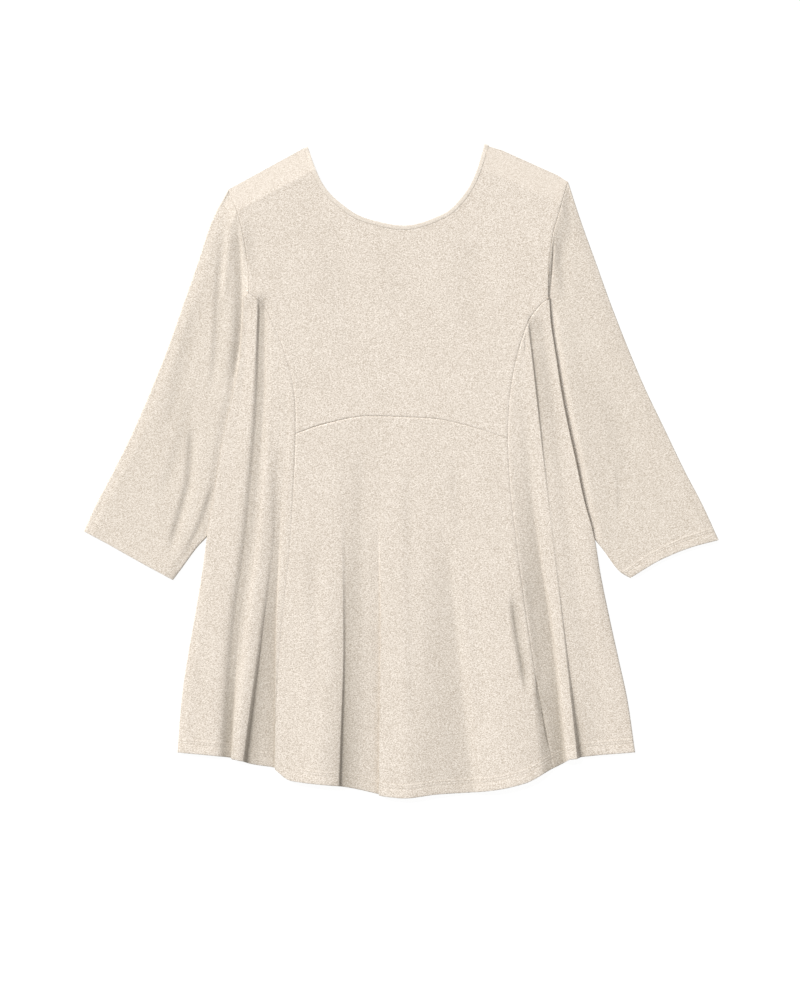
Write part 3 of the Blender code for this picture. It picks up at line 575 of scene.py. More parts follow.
def refined(count, length, start=(), end=()):
    """Shares 0 to 1 along a length: count even steps, with set distances at either end."""
    first = max(start) if start else 0.0
    last = max(end) if end else 0.0
    shares = list(np.linspace(first / length, 1.0 - last / length, count + 1))
    shares += [distance / length for distance in start[:-1]]
    shares += [1.0 - distance / length for distance in end[:-1]]
    if start:
        shares.append(0.0)
    if end:
        shares.append(1.0)
    return np.array(sorted(shares))


def filled_grid(bottom, top, left, right, u, v):
    """Plan points between four edges. Each edge is asked for by its share."""
    down, up = bottom(u)[None], top(u)[None]
    west, east = left(v)[:, None], right(v)[:, None]
    s, t = u[None, :, None], v[:, None, None]
    corners = ((down[:, :1] * (1 - s) + down[:, -1:] * s) * (1 - t)
               + (up[:, :1] * (1 - s) + up[:, -1:] * s) * t)
    return down * (1 - t) + up * t + west * (1 - s) + east * s - corners


def step_lengths(points, axis):
    steps = np.linalg.norm(np.diff(points, axis=axis), axis=-1)
    start = np.zeros_like(np.take(steps, [0], axis=axis))
    return np.concatenate((start, np.cumsum(steps, axis=axis)), axis=axis)


def crowded(grid, edge_steps):
    """Share out each row's points again: closer at sharp folds, and at the row's two ends."""
    x, y = grid[..., 0], grid[..., 1]
    weight = np.ones_like(x)
    for at, sharp in zip(fold_x, fold_sharp):
        if sharp:
            near = bump(x - at(np.minimum(y, FOLD_LEVELS[0])), CROWD_WIDTH, CROWD_WIDTH)
            weight += CROWDING * ramp(*CROWD_LEVELS, y) * near
    along = step_lengths(grid, 1)
    placed = np.empty_like(grid)
    for j, line in enumerate(grid):
        mean = (weight[j, 1:] + weight[j, :-1]) / 2
        total = np.concatenate(([0.0], np.cumsum(mean * np.diff(along[j]))))
        even = np.linspace(0.0, total[-1], len(line) - 2 * len(edge_steps))
        inner = np.interp(even, total, along[j])
        length = along[j, -1]
        near, far = edge_steps[-1], length - edge_steps[-1]
        inner = near + (inner - inner[0]) * (far - near) / (inner[-1] - inner[0])
        where = np.concatenate(([0.0], edge_steps[:-1], inner, length - edge_steps[-2::-1], [length]))
        placed[j, :, 0] = np.interp(where, along[j], line[:, 0])
        placed[j, :, 1] = np.interp(where, along[j], line[:, 1])
    return placed


def unevenness(x, y):
    """A slow wander between about 0.5 and 1, so that no seam is drawn evenly."""
    broad = 0.14 * np.sin(x * 0.043 + 1.3) * np.cos(y * 0.037)
    return 0.78 + broad + 0.1 * np.sin(x * 0.11 - y * 0.13)


seam_shown = {
    name: smooth_curve([row[0] for row in rows], [row[1] for row in rows])
    for name, rows in SEAM_SHOWN.items()
}


def seam_relief(seam, distance, x, y, allowance=1.0):
    """How far a panel dips at a seam, less the rise over its seam allowance."""
    shown = unit(seam_shown[seam](x if seam == "empire" else y))
    dip = SEAM_DEPTH * shown * unevenness(x, y) * np.exp(-(distance / SEAM_HALF) ** 2)
    rise = ramp(*ALLOWANCE_FROM, distance) * ramp(*ALLOWANCE_TO, distance)
    return dip - ALLOWANCE_RISE * allowance * rise


def hem_relief(distance):
    """Rise of a turned hem, with the dents of its two rows of stitches and its folded edge."""
    rise = HEM_RISE * ramp(HEM_WIDTH + 1.6, HEM_WIDTH - 0.2, distance)
    for row in STITCH_ROWS:
        rise -= STITCH_DENT * np.exp(-((distance - row) / STITCH_DENT_HALF) ** 2)
    return rise - HEM_EDGE_DROP * unit(1.0 - distance / HEM_EDGE_WIDTH) ** 2


def grid_normals(points, wrap=False):
    if wrap:
        across = np.roll(points, -1, axis=1) - np.roll(points, 1, axis=1)
    else:
        across = np.gradient(points, axis=1)
    along = np.gradient(points, axis=0)
    normals = np.cross(across, along)
    return normals / np.maximum(np.linalg.norm(normals, axis=-1, keepdims=True), 1e-9)


def lee_map():
    """Painted shade of the front beside its higher folds and on slopes facing left: a grid of y by x."""
    xs = np.arange(*LEE_X, LEE_STEP_X)
    ys = np.arange(*LEE_Y, LEE_STEP_Y)
    x, y = np.meshgrid(xs, ys)
    height = front_surface(x, y)[..., 2]
    columns = np.arange(len(xs))

    def beside(reach):
        return height[:, np.clip(columns - round(reach / LEE_STEP_X), 0, len(xs) - 1)]

    total = TURNED_SHARE * np.maximum(0.0, height - beside(TURNED_REACH))
    for values in LEE_ROWS:
        row = dict(zip(LEE_NAMES, values))
        total += row["share"] * np.maximum(0.0, beside(row["reach"]) - height)
    away = ramp(*LEE_AWAY, shoulder_distance(x, y))
    return np.minimum(LEE_MOST, total) * away


front_lee = lee_map()


def fold_shade(x, y):
    """Painted shade from front_lee at (x, y)."""
    across = np.clip((x - LEE_X[0]) / LEE_STEP_X, 0.0, front_lee.shape[1] - 1.001)
    along = np.clip((y - LEE_Y[0]) / LEE_STEP_Y, 0.0, front_lee.shape[0] - 1.001)
    i, j = across.astype(int), along.astype(int)
    s, t = across - i, along - j
    low = front_lee[j, i] * (1 - s) + front_lee[j, i + 1] * s
    high = front_lee[j + 1, i] * (1 - s) + front_lee[j + 1, i + 1] * s
    return low * (1 - t) + high * t


def keep_mesh(name, points, faces, material, marks=None):
    mesh = bpy.data.meshes.new(name)
    mesh.from_pydata((points * MM).tolist(), [], faces.tolist())
    for mark, values in (marks or {}).items():
        kept = mesh.attributes.new(mark, "FLOAT", "POINT")
        kept.data.foreach_set("value", np.asarray(values, np.float32))
    mesh.materials.append(material)
    mesh.shade_smooth()
    piece = bpy.data.objects.new(name, mesh)
    bpy.context.scene.collection.objects.link(piece)
    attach(piece, "root")
    return piece


def shell(name, outer, thickness, material, wrap=False, inner=None, marks=None):
    """Closed cloth wall: a grid of outer points, and a second layer thickness inside it.

    Marks are values at the outer points, by the name under which the material reads them.
    """
    rows, columns = outer.shape[:2]
    if inner is None:
        normals = grid_normals(outer, wrap)
        inner = outer - normals * np.broadcast_to(thickness, outer.shape[:2])[..., None]
    count = rows * columns
    index = np.arange(count).reshape(rows, columns)
    if wrap:
        index = np.concatenate((index, index[:, :1]), axis=1)
    a, b, c, d = index[:-1, :-1], index[:-1, 1:], index[1:, 1:], index[1:, :-1]
    top = np.stack((a, b, c, d), axis=-1).reshape(-1, 4)
    bottom = top[:, ::-1] + count
    if wrap:
        rims = [index[0, ::-1], index[-1]]
    else:
        rims = [np.concatenate((index[0, ::-1], index[1:, 0], index[-1, 1:], index[-2::-1, -1]))]
    borders = []
    for rim in rims:
        borders.append(np.stack((rim[:-1], rim[1:], rim[1:] + count, rim[:-1] + count), axis=-1))
    points = np.concatenate((outer.reshape(-1, 3), inner.reshape(-1, 3)))
    marks = {mark: np.concatenate((values.ravel(), np.zeros(count)))
             for mark, values in (marks or {}).items()}
    faces = np.concatenate([top, bottom] + borders)
    return keep_mesh(name, points, faces, material, marks)


def trimmed(grid, edges):
    """Draw the named edges of a grid in by half the seam gap, along its own lines."""
    grid = grid.copy()
    places = {"left": (np.s_[:, 0], np.s_[:, 1]), "right": (np.s_[:, -1], np.s_[:, -2]),
              "bottom": (np.s_[0], np.s_[1]), "top": (np.s_[-1], np.s_[-2])}
    for name, (edge, inner) in places.items():
        if name in edges:
            away = grid[inner] - grid[edge]
            grid[edge] += away * (SEAM_GAP / 2 / np.linalg.norm(away, axis=-1, keepdims=True))
    return grid


def dressed(grid, seams, hem=False):
    """Outer points, wall thickness and painted shade of a front panel over its plan points."""
    outer = front_surface(grid[..., 0], grid[..., 1])
    shade = fold_shade(grid[..., 0], grid[..., 1])
    flat = np.concatenate((grid, np.zeros_like(grid[..., :1])), axis=-1)
    across, along = step_lengths(flat, 1), step_lengths(flat, 0)
    distances = {"left": across, "right": across[:, -1:] - across,
                 "bottom": along, "top": along[-1:] - along}
    for edge, (seam, allowance) in seams.items():
        outer[..., 2] -= seam_relief(seam, distances[edge], grid[..., 0], grid[..., 1], allowance)
    thickness = np.full(outer.shape[:2], CLOTH)
    if hem:
        outer[..., 2] += hem_relief(along)
        thickness += HEM_EXTRA_CLOTH * ramp(HEM_WIDTH + 1.5, HEM_WIDTH, along)
    return outer, thickness, shade


def neck_offset(t, distance):
    """Point beside the neck edge, distance away from the opening."""
    t = np.asarray(t, float)
    along = neck_path(np.minimum(1.0, t + NECK_STEP)) - neck_path(np.maximum(0.0, t - NECK_STEP))
    along /= np.linalg.norm(along, axis=-1, keepdims=True)
    outward = np.stack((along[..., 1], -along[..., 0]), axis=-1)
    return neck_path(t) + outward * np.asarray(distance)[..., None]


# Edges of panels, each asked for by its share, from the left or from the hem up

def upward(points):
    """Path from the last of the points to the first."""
    path = smooth_path(points)
    return lambda t: path(1.0 - t)


def joined(low, high, share):
    """One edge of two: low for its first share, then high."""
    def edge(v):
        first = low(unit(v / share))
        second = high(unit((v - share) / (1.0 - share)))
        return np.where(v[:, None] < share, first, second)

    return edge


def top_edge(tips, neck, share):
    """Shoulder, neck and shoulder, where each shoulder takes share of the edge."""
    neck_ends = neck(np.array([0.0, 1.0]))

    def edge(u):
        left, right = unit(u / share)[:, None], unit((u - 1.0 + share) / share)[:, None]
        on_left = tips["left"] * (1 - left) + neck_ends[0] * left
        on_right = right_shoulder(neck_ends[1], tips["right"], right)
        middle = neck(unit((u - share) / (1 - 2 * share)))
        place = u[:, None]
        return np.where(place < share, on_left, np.where(place > 1 - share, on_right, middle))

    return edge


def hem_edge(left, right, inset=0.0):
    """The hem between the feet of two side edges."""
    start, end = left(np.zeros(1))[0, 0], right(np.zeros(1))[0, 0]

    def edge(u):
        x = start + (end - start) * u
        return np.stack((x, hem_height(x) + inset), axis=-1)

    return edge


# Panels

def add_bodice(material):
    """Upper front: shoulders and neck at its top, empire seam at its foot."""
    tips = {side: np.array(tip) for side, tip in SHOULDER_TIP.items()}
    top = top_edge(tips, lambda t: neck_offset(t, BAND_WIDTH), BODICE_SHOULDER)
    left, right = [joined(upward(YOKE_SEAM[side]), upward(ARMHOLE[side]), BODICE_YOKE)
                   for side in INWARD]
    near = np.array(SEAM_STEPS[:4]) / BODICE_WIDTH
    u = np.unique(np.concatenate((np.linspace(0.0, 1.0, BODICE_COLUMNS + 1), near, 1.0 - near)))
    v = refined(BODICE_ROWS, BODICE_LENGTH, SEAM_STEPS, SEAM_STEPS)
    grid = filled_grid(smooth_path(EMPIRE_SEAM), top, left, right, u, v)
    grid = trimmed(grid, ("left", "right", "bottom", "top"))
    outer, thickness, shade = dressed(grid, {"left": ("left", 1.0), "right": ("right", 1.0),
                                            "bottom": ("empire", 0.6)})
    calm = ramp(*CALM_REACH, shoulder_distance(grid[..., 0], grid[..., 1]))
    piece = shell("bodice_cloth", outer, thickness, material,
                  marks={"fold_shade": shade, "calm_grain": calm})
    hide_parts("front_bodice")
    return piece


def add_skirt(material):
    """Centre front skirt, between the princess seams."""
    left, right = upward(SKIRT_SEAM["left"]), upward(SKIRT_SEAM["right"])
    u = np.linspace(0.0, 1.0, SKIRT_COLUMNS + 1)
    v = refined(SKIRT_ROWS, SKIRT_LENGTH, HEM_STEPS, SEAM_STEPS)
    grid = filled_grid(hem_edge(left, right), smooth_path(EMPIRE_SEAM), left, right, u, v)
    grid = trimmed(crowded(grid, np.array(SEAM_STEPS)), ("left", "right", "top"))
    outer, thickness, shade = dressed(grid, {"left": ("left", 0.3), "right": ("right", 0.3),
                                            "top": ("empire", 0.0)}, hem=True)
    piece = shell("skirt_cloth", outer, thickness, material, marks={"fold_shade": shade})
    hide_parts("front_skirt")
    return piece


def curl_radius(y):
    """Radius of a side edge's curl: small beside the sleeve, larger where the edge is free."""
    return CURL_RADII[0] + (CURL_RADII[1] - CURL_RADII[0]) * ramp(*CURL_LEVELS, y)


def with_free_side(side, added, grid):
    """A panel's grid with columns added at its free side."""
    return np.concatenate((added, grid) if side == "left" else (grid, added), axis=1)


def repeated_edge(side, grid):
    """A panel's free side edge, once for every step of its curl."""
    return np.repeat(grid[:, :1] if side == "left" else grid[:, -1:], CURL_STEPS, axis=1)


def curled(outer, side):
    """Turn the free side edge of a panel down and round, on extra columns."""
    angles = np.linspace(0.0, math.pi * CURL_TURN, CURL_STEPS + 1)[1:]
    added = repeated_edge(side, outer)
    radius = curl_radius(added[..., 1])
    added[..., 0] -= INWARD[side] * radius * np.sin(angles)
    added[..., 2] -= radius * (1.0 - np.cos(angles))
    added[..., 2] = np.maximum(added[..., 2], BACK_TOP + CURL_CLEARANCE)
    return with_free_side(side, added[:, ::-1] if side == "left" else added, outer)


def add_side_front(side, material):
    """Side panel of the front, from the underarm to the hem."""
    seam = joined(upward(SKIRT_SEAM[side]), upward(YOKE_SEAM[side]), SIDE_SKIRT)
    foot, head = seam(np.array([0.0, 1.0]))[:, 1]

    def outer_edge(v):
        share = (seam(v)[:, 1] - foot) / (head - foot)
        y = SIDE_FOOT["y"] + (UNDERARM_Y - SIDE_FOOT["y"]) * share
        return np.stack((side_curves[side + "_x"](y) + INWARD[side] * curl_radius(y), y), axis=-1)

    left, right = (outer_edge, seam) if side == "left" else (seam, outer_edge)
    top_left, top_right = left(np.ones(1)), right(np.ones(1))

    def top(u):
        return top_left + (top_right - top_left) * u[:, None]

    u = np.linspace(0.0, 1.0, SIDE_COLUMNS + 1)
    v = refined(SIDE_ROW_COUNT, SIDE_LENGTH, HEM_STEPS, SEAM_STEPS)
    grid = filled_grid(hem_edge(left, right), top, left, right, u, v)
    seam_edge = "right" if side == "left" else "left"
    grid = trimmed(crowded(grid, np.array(SEAM_STEPS)), (seam_edge, "top"))
    outer, thickness, shade = dressed(grid, {seam_edge: (side, 1.0)}, hem=True)
    thickness = with_free_side(side, repeated_edge(side, thickness), thickness)
    # Painted shade on the curled free edge, full from the waist up where it lies beside the sleeve
    edge_shade = repeated_edge(side, shade) + EDGE_LEE * ramp(*CURL_LEVELS, grid[:, :1, 1])
    piece = shell("side_cloth_" + side, curled(outer, side), thickness, material,
                  marks={"fold_shade": with_free_side(side, edge_shade, shade)})
    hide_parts("side_front_" + side)
    return piece


# Sleeves

def sleeve_inner_points(side):
    points = [ARMHOLE[side][-1]]
    for values in SIDE_ROWS[1:]:
        row = dict(zip(SIDE_NAMES, values))
        if row["tuck"] > 0.0:
            points.append((row[side + "_x"] + INWARD[side] * row["tuck"], row["y"]))
    return [*points, *SLEEVE_INNER_END[side], CUFF[side][-1]]


def sleeve_outer_points(side):
    xs, ys = [column(SLEEVE_OUTER_ROWS, SLEEVE_OUTER_NAMES, name) for name in (side + "_x", "y")]
    return [SHOULDER_TIP[side], *zip(xs, ys), CUFF[side][0]]


def beside_body(side, x, y):
    """Height that the sleeve gains or loses beside the body's edge, where it comes out."""
    row = dict(zip(BESIDE_NAMES, BESIDE_ROWS[side]))
    out = INWARD[side] * (side_curves[side + "_x"](np.clip(y, *BESIDE_LEVELS)) - x)
    near = ramp(*BESIDE_TOP, y) * ramp(*BESIDE_FOOT, y)
    if side == "right":
        near = near * (BESIDE_LEAST + (1 - BESIDE_LEAST) * bump(y - BESIDE_WAIST, *BESIDE_WAIST_REACH))
    crest = row["crest"] * bump(out - row["crest_at"], row["crest_in"], row["crest_out"])
    return near * (crest - row["dip"] * bump(out - row["dip_at"], row["dip_in"], row["dip_out"]))


def sleeve_plan(side):
    outer, inner = smooth_path(sleeve_outer_points(side)), smooth_path(sleeve_inner_points(side))
    head, cuff = smooth_path(ARMHOLE[side]), smooth_path(CUFF[side])
    o0, o1 = outer(np.array([0.0, 1.0]))
    i0, i1 = inner(np.array([0.0, 1.0]))

    def plan(t, s):
        t, s = np.broadcast_arrays(t, s)
        a, b = t[..., None], s[..., None]
        corners = (o0 * (1 - b) + o1 * b) * (1 - a) + (i0 * (1 - b) + i1 * b) * a
        return outer(s) * (1 - a) + inner(s) * a + head(t) * (1 - b) + cuff(t) * b - corners

    return plan, outer, inner


def sleeve_top(side, t, s, x, y, width, length):
    """Height of a sleeve's upper face: t across from its outer edge, s down from its head."""
    head = height_at(smooth_path(ARMHOLE[side])(t)) - SLEEVE_HEAD_SINK
    head = head + (SLEEVE_TUCK_HEIGHT - head) * ramp(*SLEEVE_TUCK_FROM[side], t)
    past_head = ramp(0.0, SLEEVE_HEAD_LENGTH, s * length)
    z = SLEEVE_HEIGHT + (head - SLEEVE_HEIGHT) * (1.0 - past_head)
    z = z - crease_depth(side, x, y)
    near_edge = np.minimum(t, 1.0 - t) * width
    reach = SLEEVE_EDGE_WIDTH * (SLEEVE_HEAD_REACH + (1 - SLEEVE_HEAD_REACH) * past_head)
    z = SLEEVE_EDGE + (z - SLEEVE_EDGE) * ramp(0.0, 1.0, near_edge / reach)
    z = z + beside_body(side, x, y)
    z = z - seam_relief(side, s * length, x, y, SLEEVE_ALLOWANCE)
    return z + hem_relief((1.0 - s) * length)


def add_sleeve(side, material):
    """Sleeve lying flat: a tube with rolled edges, open at the armhole and at the cuff."""
    plan, outer, inner = sleeve_plan(side)
    path = outer(np.linspace(0.0, 1.0, 60))
    length = float(np.sum(np.hypot(*np.diff(path, axis=0).T)))
    s = refined(SLEEVE_ROWS, length, SEAM_STEPS, HEM_STEPS)
    s[0] = SLEEVE_HEAD_MARGIN / length
    width = np.linalg.norm(outer(s) - inner(s), axis=-1)
    radius = SLEEVE_EDGE / 2
    turn = np.linspace(-math.pi / 2, math.pi / 2, SLEEVE_TURN_STEPS)
    across = np.linspace(0.0, 1.0, SLEEVE_TOP_COLUMNS + 2)[1:-1]
    under = np.linspace(1.0, 0.0, SLEEVE_BOTTOM_COLUMNS + 2)[1:-1]

    def ring(depth):
        reach = (radius - (radius - depth) * np.cos(turn))[None] / width[:, None]
        lift = np.broadcast_to((radius + (radius - depth) * np.sin(turn))[None], reach.shape)
        spread = radius / width[:, None]
        top_t = spread + across[None] * (1.0 - 2 * spread)
        low_t = spread + under[None] * (1.0 - 2 * spread)
        t = np.concatenate((reach, top_t, 1.0 - reach[:, ::-1], low_t), axis=1)
        rows = np.broadcast_to(s[:, None], t.shape)
        points = plan(t, rows)
        x, y = points[..., 0], points[..., 1]
        size = np.broadcast_to(width[:, None], t.shape)
        top = sleeve_top(side, t, rows, x, y, size, length)
        over = top[:, len(turn):len(turn) + len(across)] - depth
        z = np.concatenate((lift, over, lift[:, ::-1], np.full_like(low_t, depth)), axis=1)
        return np.stack((x, y, z), axis=-1)

    face, lining = ring(0.0), ring(CLOTH)
    # Painted shade in the sleeve's creases, by their depth
    shade = SLEEVE_LEE * np.maximum(0.0, crease_depth(side, face[..., 0], face[..., 1]))
    if side == "right":
        face, lining, shade = face[:, ::-1], lining[:, ::-1], shade[:, ::-1]
    piece = shell("sleeve_cloth_" + side, face, 0.0, material, wrap=True, inner=lining,
                  marks={"fold_shade": shade})
    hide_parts("sleeve_" + side)
    return piece, length


# Back

def back_side(side, y):
    """The back's side edge, clear of the sleeve down to the sleeve's end."""
    points = sleeve_inner_points(side)
    sleeve = smooth_curve([p[1] for p in points], [p[0] for p in points])
    sleeve_end = SLEEVE_INNER_END[side][0][1]
    body = side_curves[side + "_x"](y) + INWARD[side] * BACK_INSET
    beside = sleeve(np.maximum(y, sleeve_end)) + INWARD[side] * BACK_SLEEVE_GAP
    clear = np.maximum(body, beside) if side == "left" else np.minimum(body, beside)
    return np.where(y > sleeve_end, clear, body)


def back_neck_shift(t):
    """How much further in the back's neck edge lies than the front's."""
    return BAND_BACK_SHIFT * between(BAND_BACK_FADE, t)


def add_back(material):
    """Back panel: flat on the surface under the fronts."""
    across, along = BACK_ARMHOLE_SHIFT
    shifts = {side: np.array((inward * across, along)) for side, inward in INWARD.items()}
    tips = {side: np.array(SHOULDER_TIP[side]) + shifts[side] for side in INWARD}

    def neck(t):
        return neck_offset(t, BAND_WIDTH + BAND_CLEARANCE + back_neck_shift(t))

    def side_edge(side):
        armhole = upward(ARMHOLE[side])

        def body(t):
            y = BACK_SIDE_ENDS[1] + (BACK_SIDE_ENDS[0] - BACK_SIDE_ENDS[1]) * t
            return np.stack((back_side(side, y), y), axis=-1)

        return joined(body, lambda t: armhole(t) + shifts[side], BACK_BODY)

    left, right = side_edge("left"), side_edge("right")
    u = np.linspace(0.0, 1.0, BACK_COLUMNS + 1)
    u = np.unique(np.concatenate((u, [BACK_SHOULDER, 1 - BACK_SHOULDER])))
    v = np.unique(np.concatenate((refined(BACK_ROWS, BACK_LENGTH, BACK_STEPS, BACK_STEPS), [BACK_BODY])))
    grid = filled_grid(hem_edge(left, right, BACK_INSET), top_edge(tips, neck, BACK_SHOULDER),
                       left, right, u, v)
    outer = np.concatenate((grid, np.full_like(grid[..., :1], BACK_TOP)), axis=-1)
    inner = outer * (1.0, 1.0, 0.0)
    piece = shell("back_cloth", outer, 0.0, material, inner=inner)
    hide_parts("back")
    return piece


# Neck binding

def band_face(t):
    """Height of the binding's upper face along the front neck, low at the shoulders."""
    low = FRONT_LOWEST + BAND_END_RISE
    high = height_at(neck_offset(t, BAND_WIDTH / 2)) + BAND_PROUD
    return low + (high - low) * between(BAND_END_FADE, t)


def band_sections():
    """Sections of the binding round its closed loop: centre, width and upward directions."""
    half = BAND_WIDTH / 2
    low, high = BACK_TOP / 2, FRONT_LOWEST + BAND_END_RISE - BAND_WALL / 2
    middle, radius = (low + high) / 2, (high - low) / 2
    t = np.linspace(0.0, 1.0, BAND_STEPS + 1)
    edge = neck_path(t)
    width = neck_offset(t, 1.0) - edge
    centre = edge + width * half
    behind = edge + width * (half + back_neck_shift(t))[:, None]
    z = band_face(t) - BAND_WALL / 2
    sections = [((*centre[k], z[k]), width[k], (0.0, 0.0, 1.0)) for k in range(BAND_STEPS + 1)]

    def add_turn(k, forward):
        """Turn the strip over at one end of the front neck, and back at the other."""
        along = np.array((-width[k][1], width[k][0])) * forward
        for step in range(1, BAND_TURN_STEPS):
            angle = math.pi * step / BAND_TURN_STEPS
            out = centre[k] + along * radius * math.sin(angle) * forward
            sections.append(((*out, middle + radius * math.cos(angle) * forward), width[k],
                             (*(along * math.sin(angle) * forward), math.cos(angle) * forward)))

    add_turn(-1, 1.0)
    for k in range(BAND_STEPS, -1, -1):
        sections.append(((*behind[k], low), width[k], (0.0, 0.0, -1.0)))
    add_turn(0, -1.0)
    return sections


def add_neck_band(material):
    """Neck binding: a folded strip with a rounded section, in a closed loop."""
    half = BAND_WIDTH / 2 - BAND_HALF_GAP
    angles = np.linspace(0.0, 2 * math.pi, 21)[:-1]
    wide = half * np.sign(np.cos(angles)) * np.abs(np.cos(angles)) ** BAND_ROUNDING[0]
    tall = BAND_HALF_HEIGHT * np.sign(np.sin(angles)) * np.abs(np.sin(angles)) ** BAND_ROUNDING[1]
    rows = []
    for centre, width, up in band_sections():
        across = np.array((width[0], width[1], 0.0))
        rows.append(np.array(centre) + wide[:, None] * across + tall[:, None] * np.array(up))
    points = np.array(rows)
    count, around = points.shape[:2]
    index = np.arange(count * around).reshape(count, around)
    a, b = index, np.roll(index, -1, axis=1)
    c, d = np.roll(b, -1, axis=0), np.roll(index, -1, axis=0)
    faces = np.stack((a, d, c, b), axis=-1).reshape(-1, 4)
    piece = keep_mesh("neck_binding", points.reshape(-1, 3), faces, material)
    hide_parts("neck_band")


# Stitches

def stitch_run(path, pitch, length, radius, lift):
    """Rings of points for each stitch along a path of surface points."""
    path = np.asarray(path, float)
    lengths = np.concatenate(([0.0], np.cumsum(np.linalg.norm(np.diff(path, axis=0), axis=1))))
    starts = np.arange(pitch * 0.5, lengths[-1] - pitch, pitch)
    angles = np.linspace(0.0, 2 * math.pi, 7)[:-1]
    made = []
    for station, size, sink in STITCH_STATIONS:
        where = starts + length * (0.5 + station)
        centre = np.stack([np.interp(where, lengths, path[:, k]) for k in range(3)], axis=-1)
        ahead = np.stack([np.interp(where + 0.5, lengths, path[:, k]) for k in range(3)], axis=-1)
        tangent = ahead - centre
        tangent /= np.linalg.norm(tangent, axis=1, keepdims=True)
        side = np.cross(tangent, (0.0, 0.0, 1.0))
        side /= np.linalg.norm(side, axis=1, keepdims=True)
        up = np.cross(side, tangent)
        middle = centre + up * (lift - sink * radius)
        wide, tall = [turn[None, :, None] * radius * size for turn in (np.cos(angles), np.sin(angles))]
        made.append(middle[:, None] + side[:, None] * wide + up[:, None] * tall)
    return np.stack(made, axis=1)


def add_stitches(name, runs, material):
    rings = np.concatenate(runs)
    count, stations, around = rings.shape[:3]
    starts = (np.arange(count) * stations * around)[:, None, None]
    index = np.arange(stations * around).reshape(stations, around)
    turned = np.roll(index, -1, axis=1)
    quads = np.stack((index[:-1], turned[:-1], turned[1:], index[1:]), axis=-1).reshape(-1, 4)
    caps = np.array([cap[half] for cap in (index[0][::-1], index[-1])
                     for half in ([0, 1, 2, 3], [0, 3, 4, 5])])
    faces = np.concatenate([(part[None] + starts).reshape(-1, 4) for part in (quads, caps)])
    return keep_mesh(name, rings.reshape(-1, 3), faces, material)


def hem_stitches(material):
    """Two rows of stitches round the front hem, split at the princess seams."""
    left_seam, right_seam = SKIRT_SEAM["left"][-1][0], SKIRT_SEAM["right"][-1][0]
    parts = (
        ("hem_stitches_left", SIDE_FOOT["left_x"] + CURL_RADII[0], left_seam),
        ("hem_stitches_middle", left_seam, right_seam),
        ("hem_stitches_right", right_seam, SIDE_FOOT["right_x"] - CURL_RADII[0]),
    )
    made = []
    for name, start, end in parts:
        runs = []
        for row in STITCH_ROWS:
            x = np.linspace(start + STITCH_MARGIN, end - STITCH_MARGIN, 400)
            path = front_surface(x, hem_height(x) + row)
            path[:, 2] += hem_relief(np.full_like(x, row))
            runs.append(stitch_run(path, *HEM_STITCH))
        made.append(add_stitches(name, runs, material))
    return made


def cuff_stitches(side, length, material):
    plan, outer, inner = sleeve_plan(side)
    runs = []
    for row in STITCH_ROWS:
        s = np.full(300, 1.0 - row / length)
        width = np.linalg.norm(outer(s) - inner(s), axis=-1)
        t = np.linspace(*STITCHED_SPAN, len(s))
        points = plan(t, s)
        z = sleeve_top(side, t, s, points[..., 0], points[..., 1], width, length)
        path = np.concatenate((points, z[:, None]), axis=-1)
        runs.append(stitch_run(path, *HEM_STITCH))
    return add_stitches("cuff_stitches_" + side, runs, material)


def neck_stitches(material):
    """One row of stitches just inside the outer edge of the neck binding."""
    t = np.linspace(*STITCHED_SPAN, 700)
    points = neck_offset(t, BAND_WIDTH - NECK_STITCH_INSET)
    path = np.concatenate((points, band_face(t)[:, None] - NECK_STITCH_SINK), axis=-1)
    return add_stitches("neck_stitches", [stitch_run(path, *NECK_STITCH)], material)


# Materials

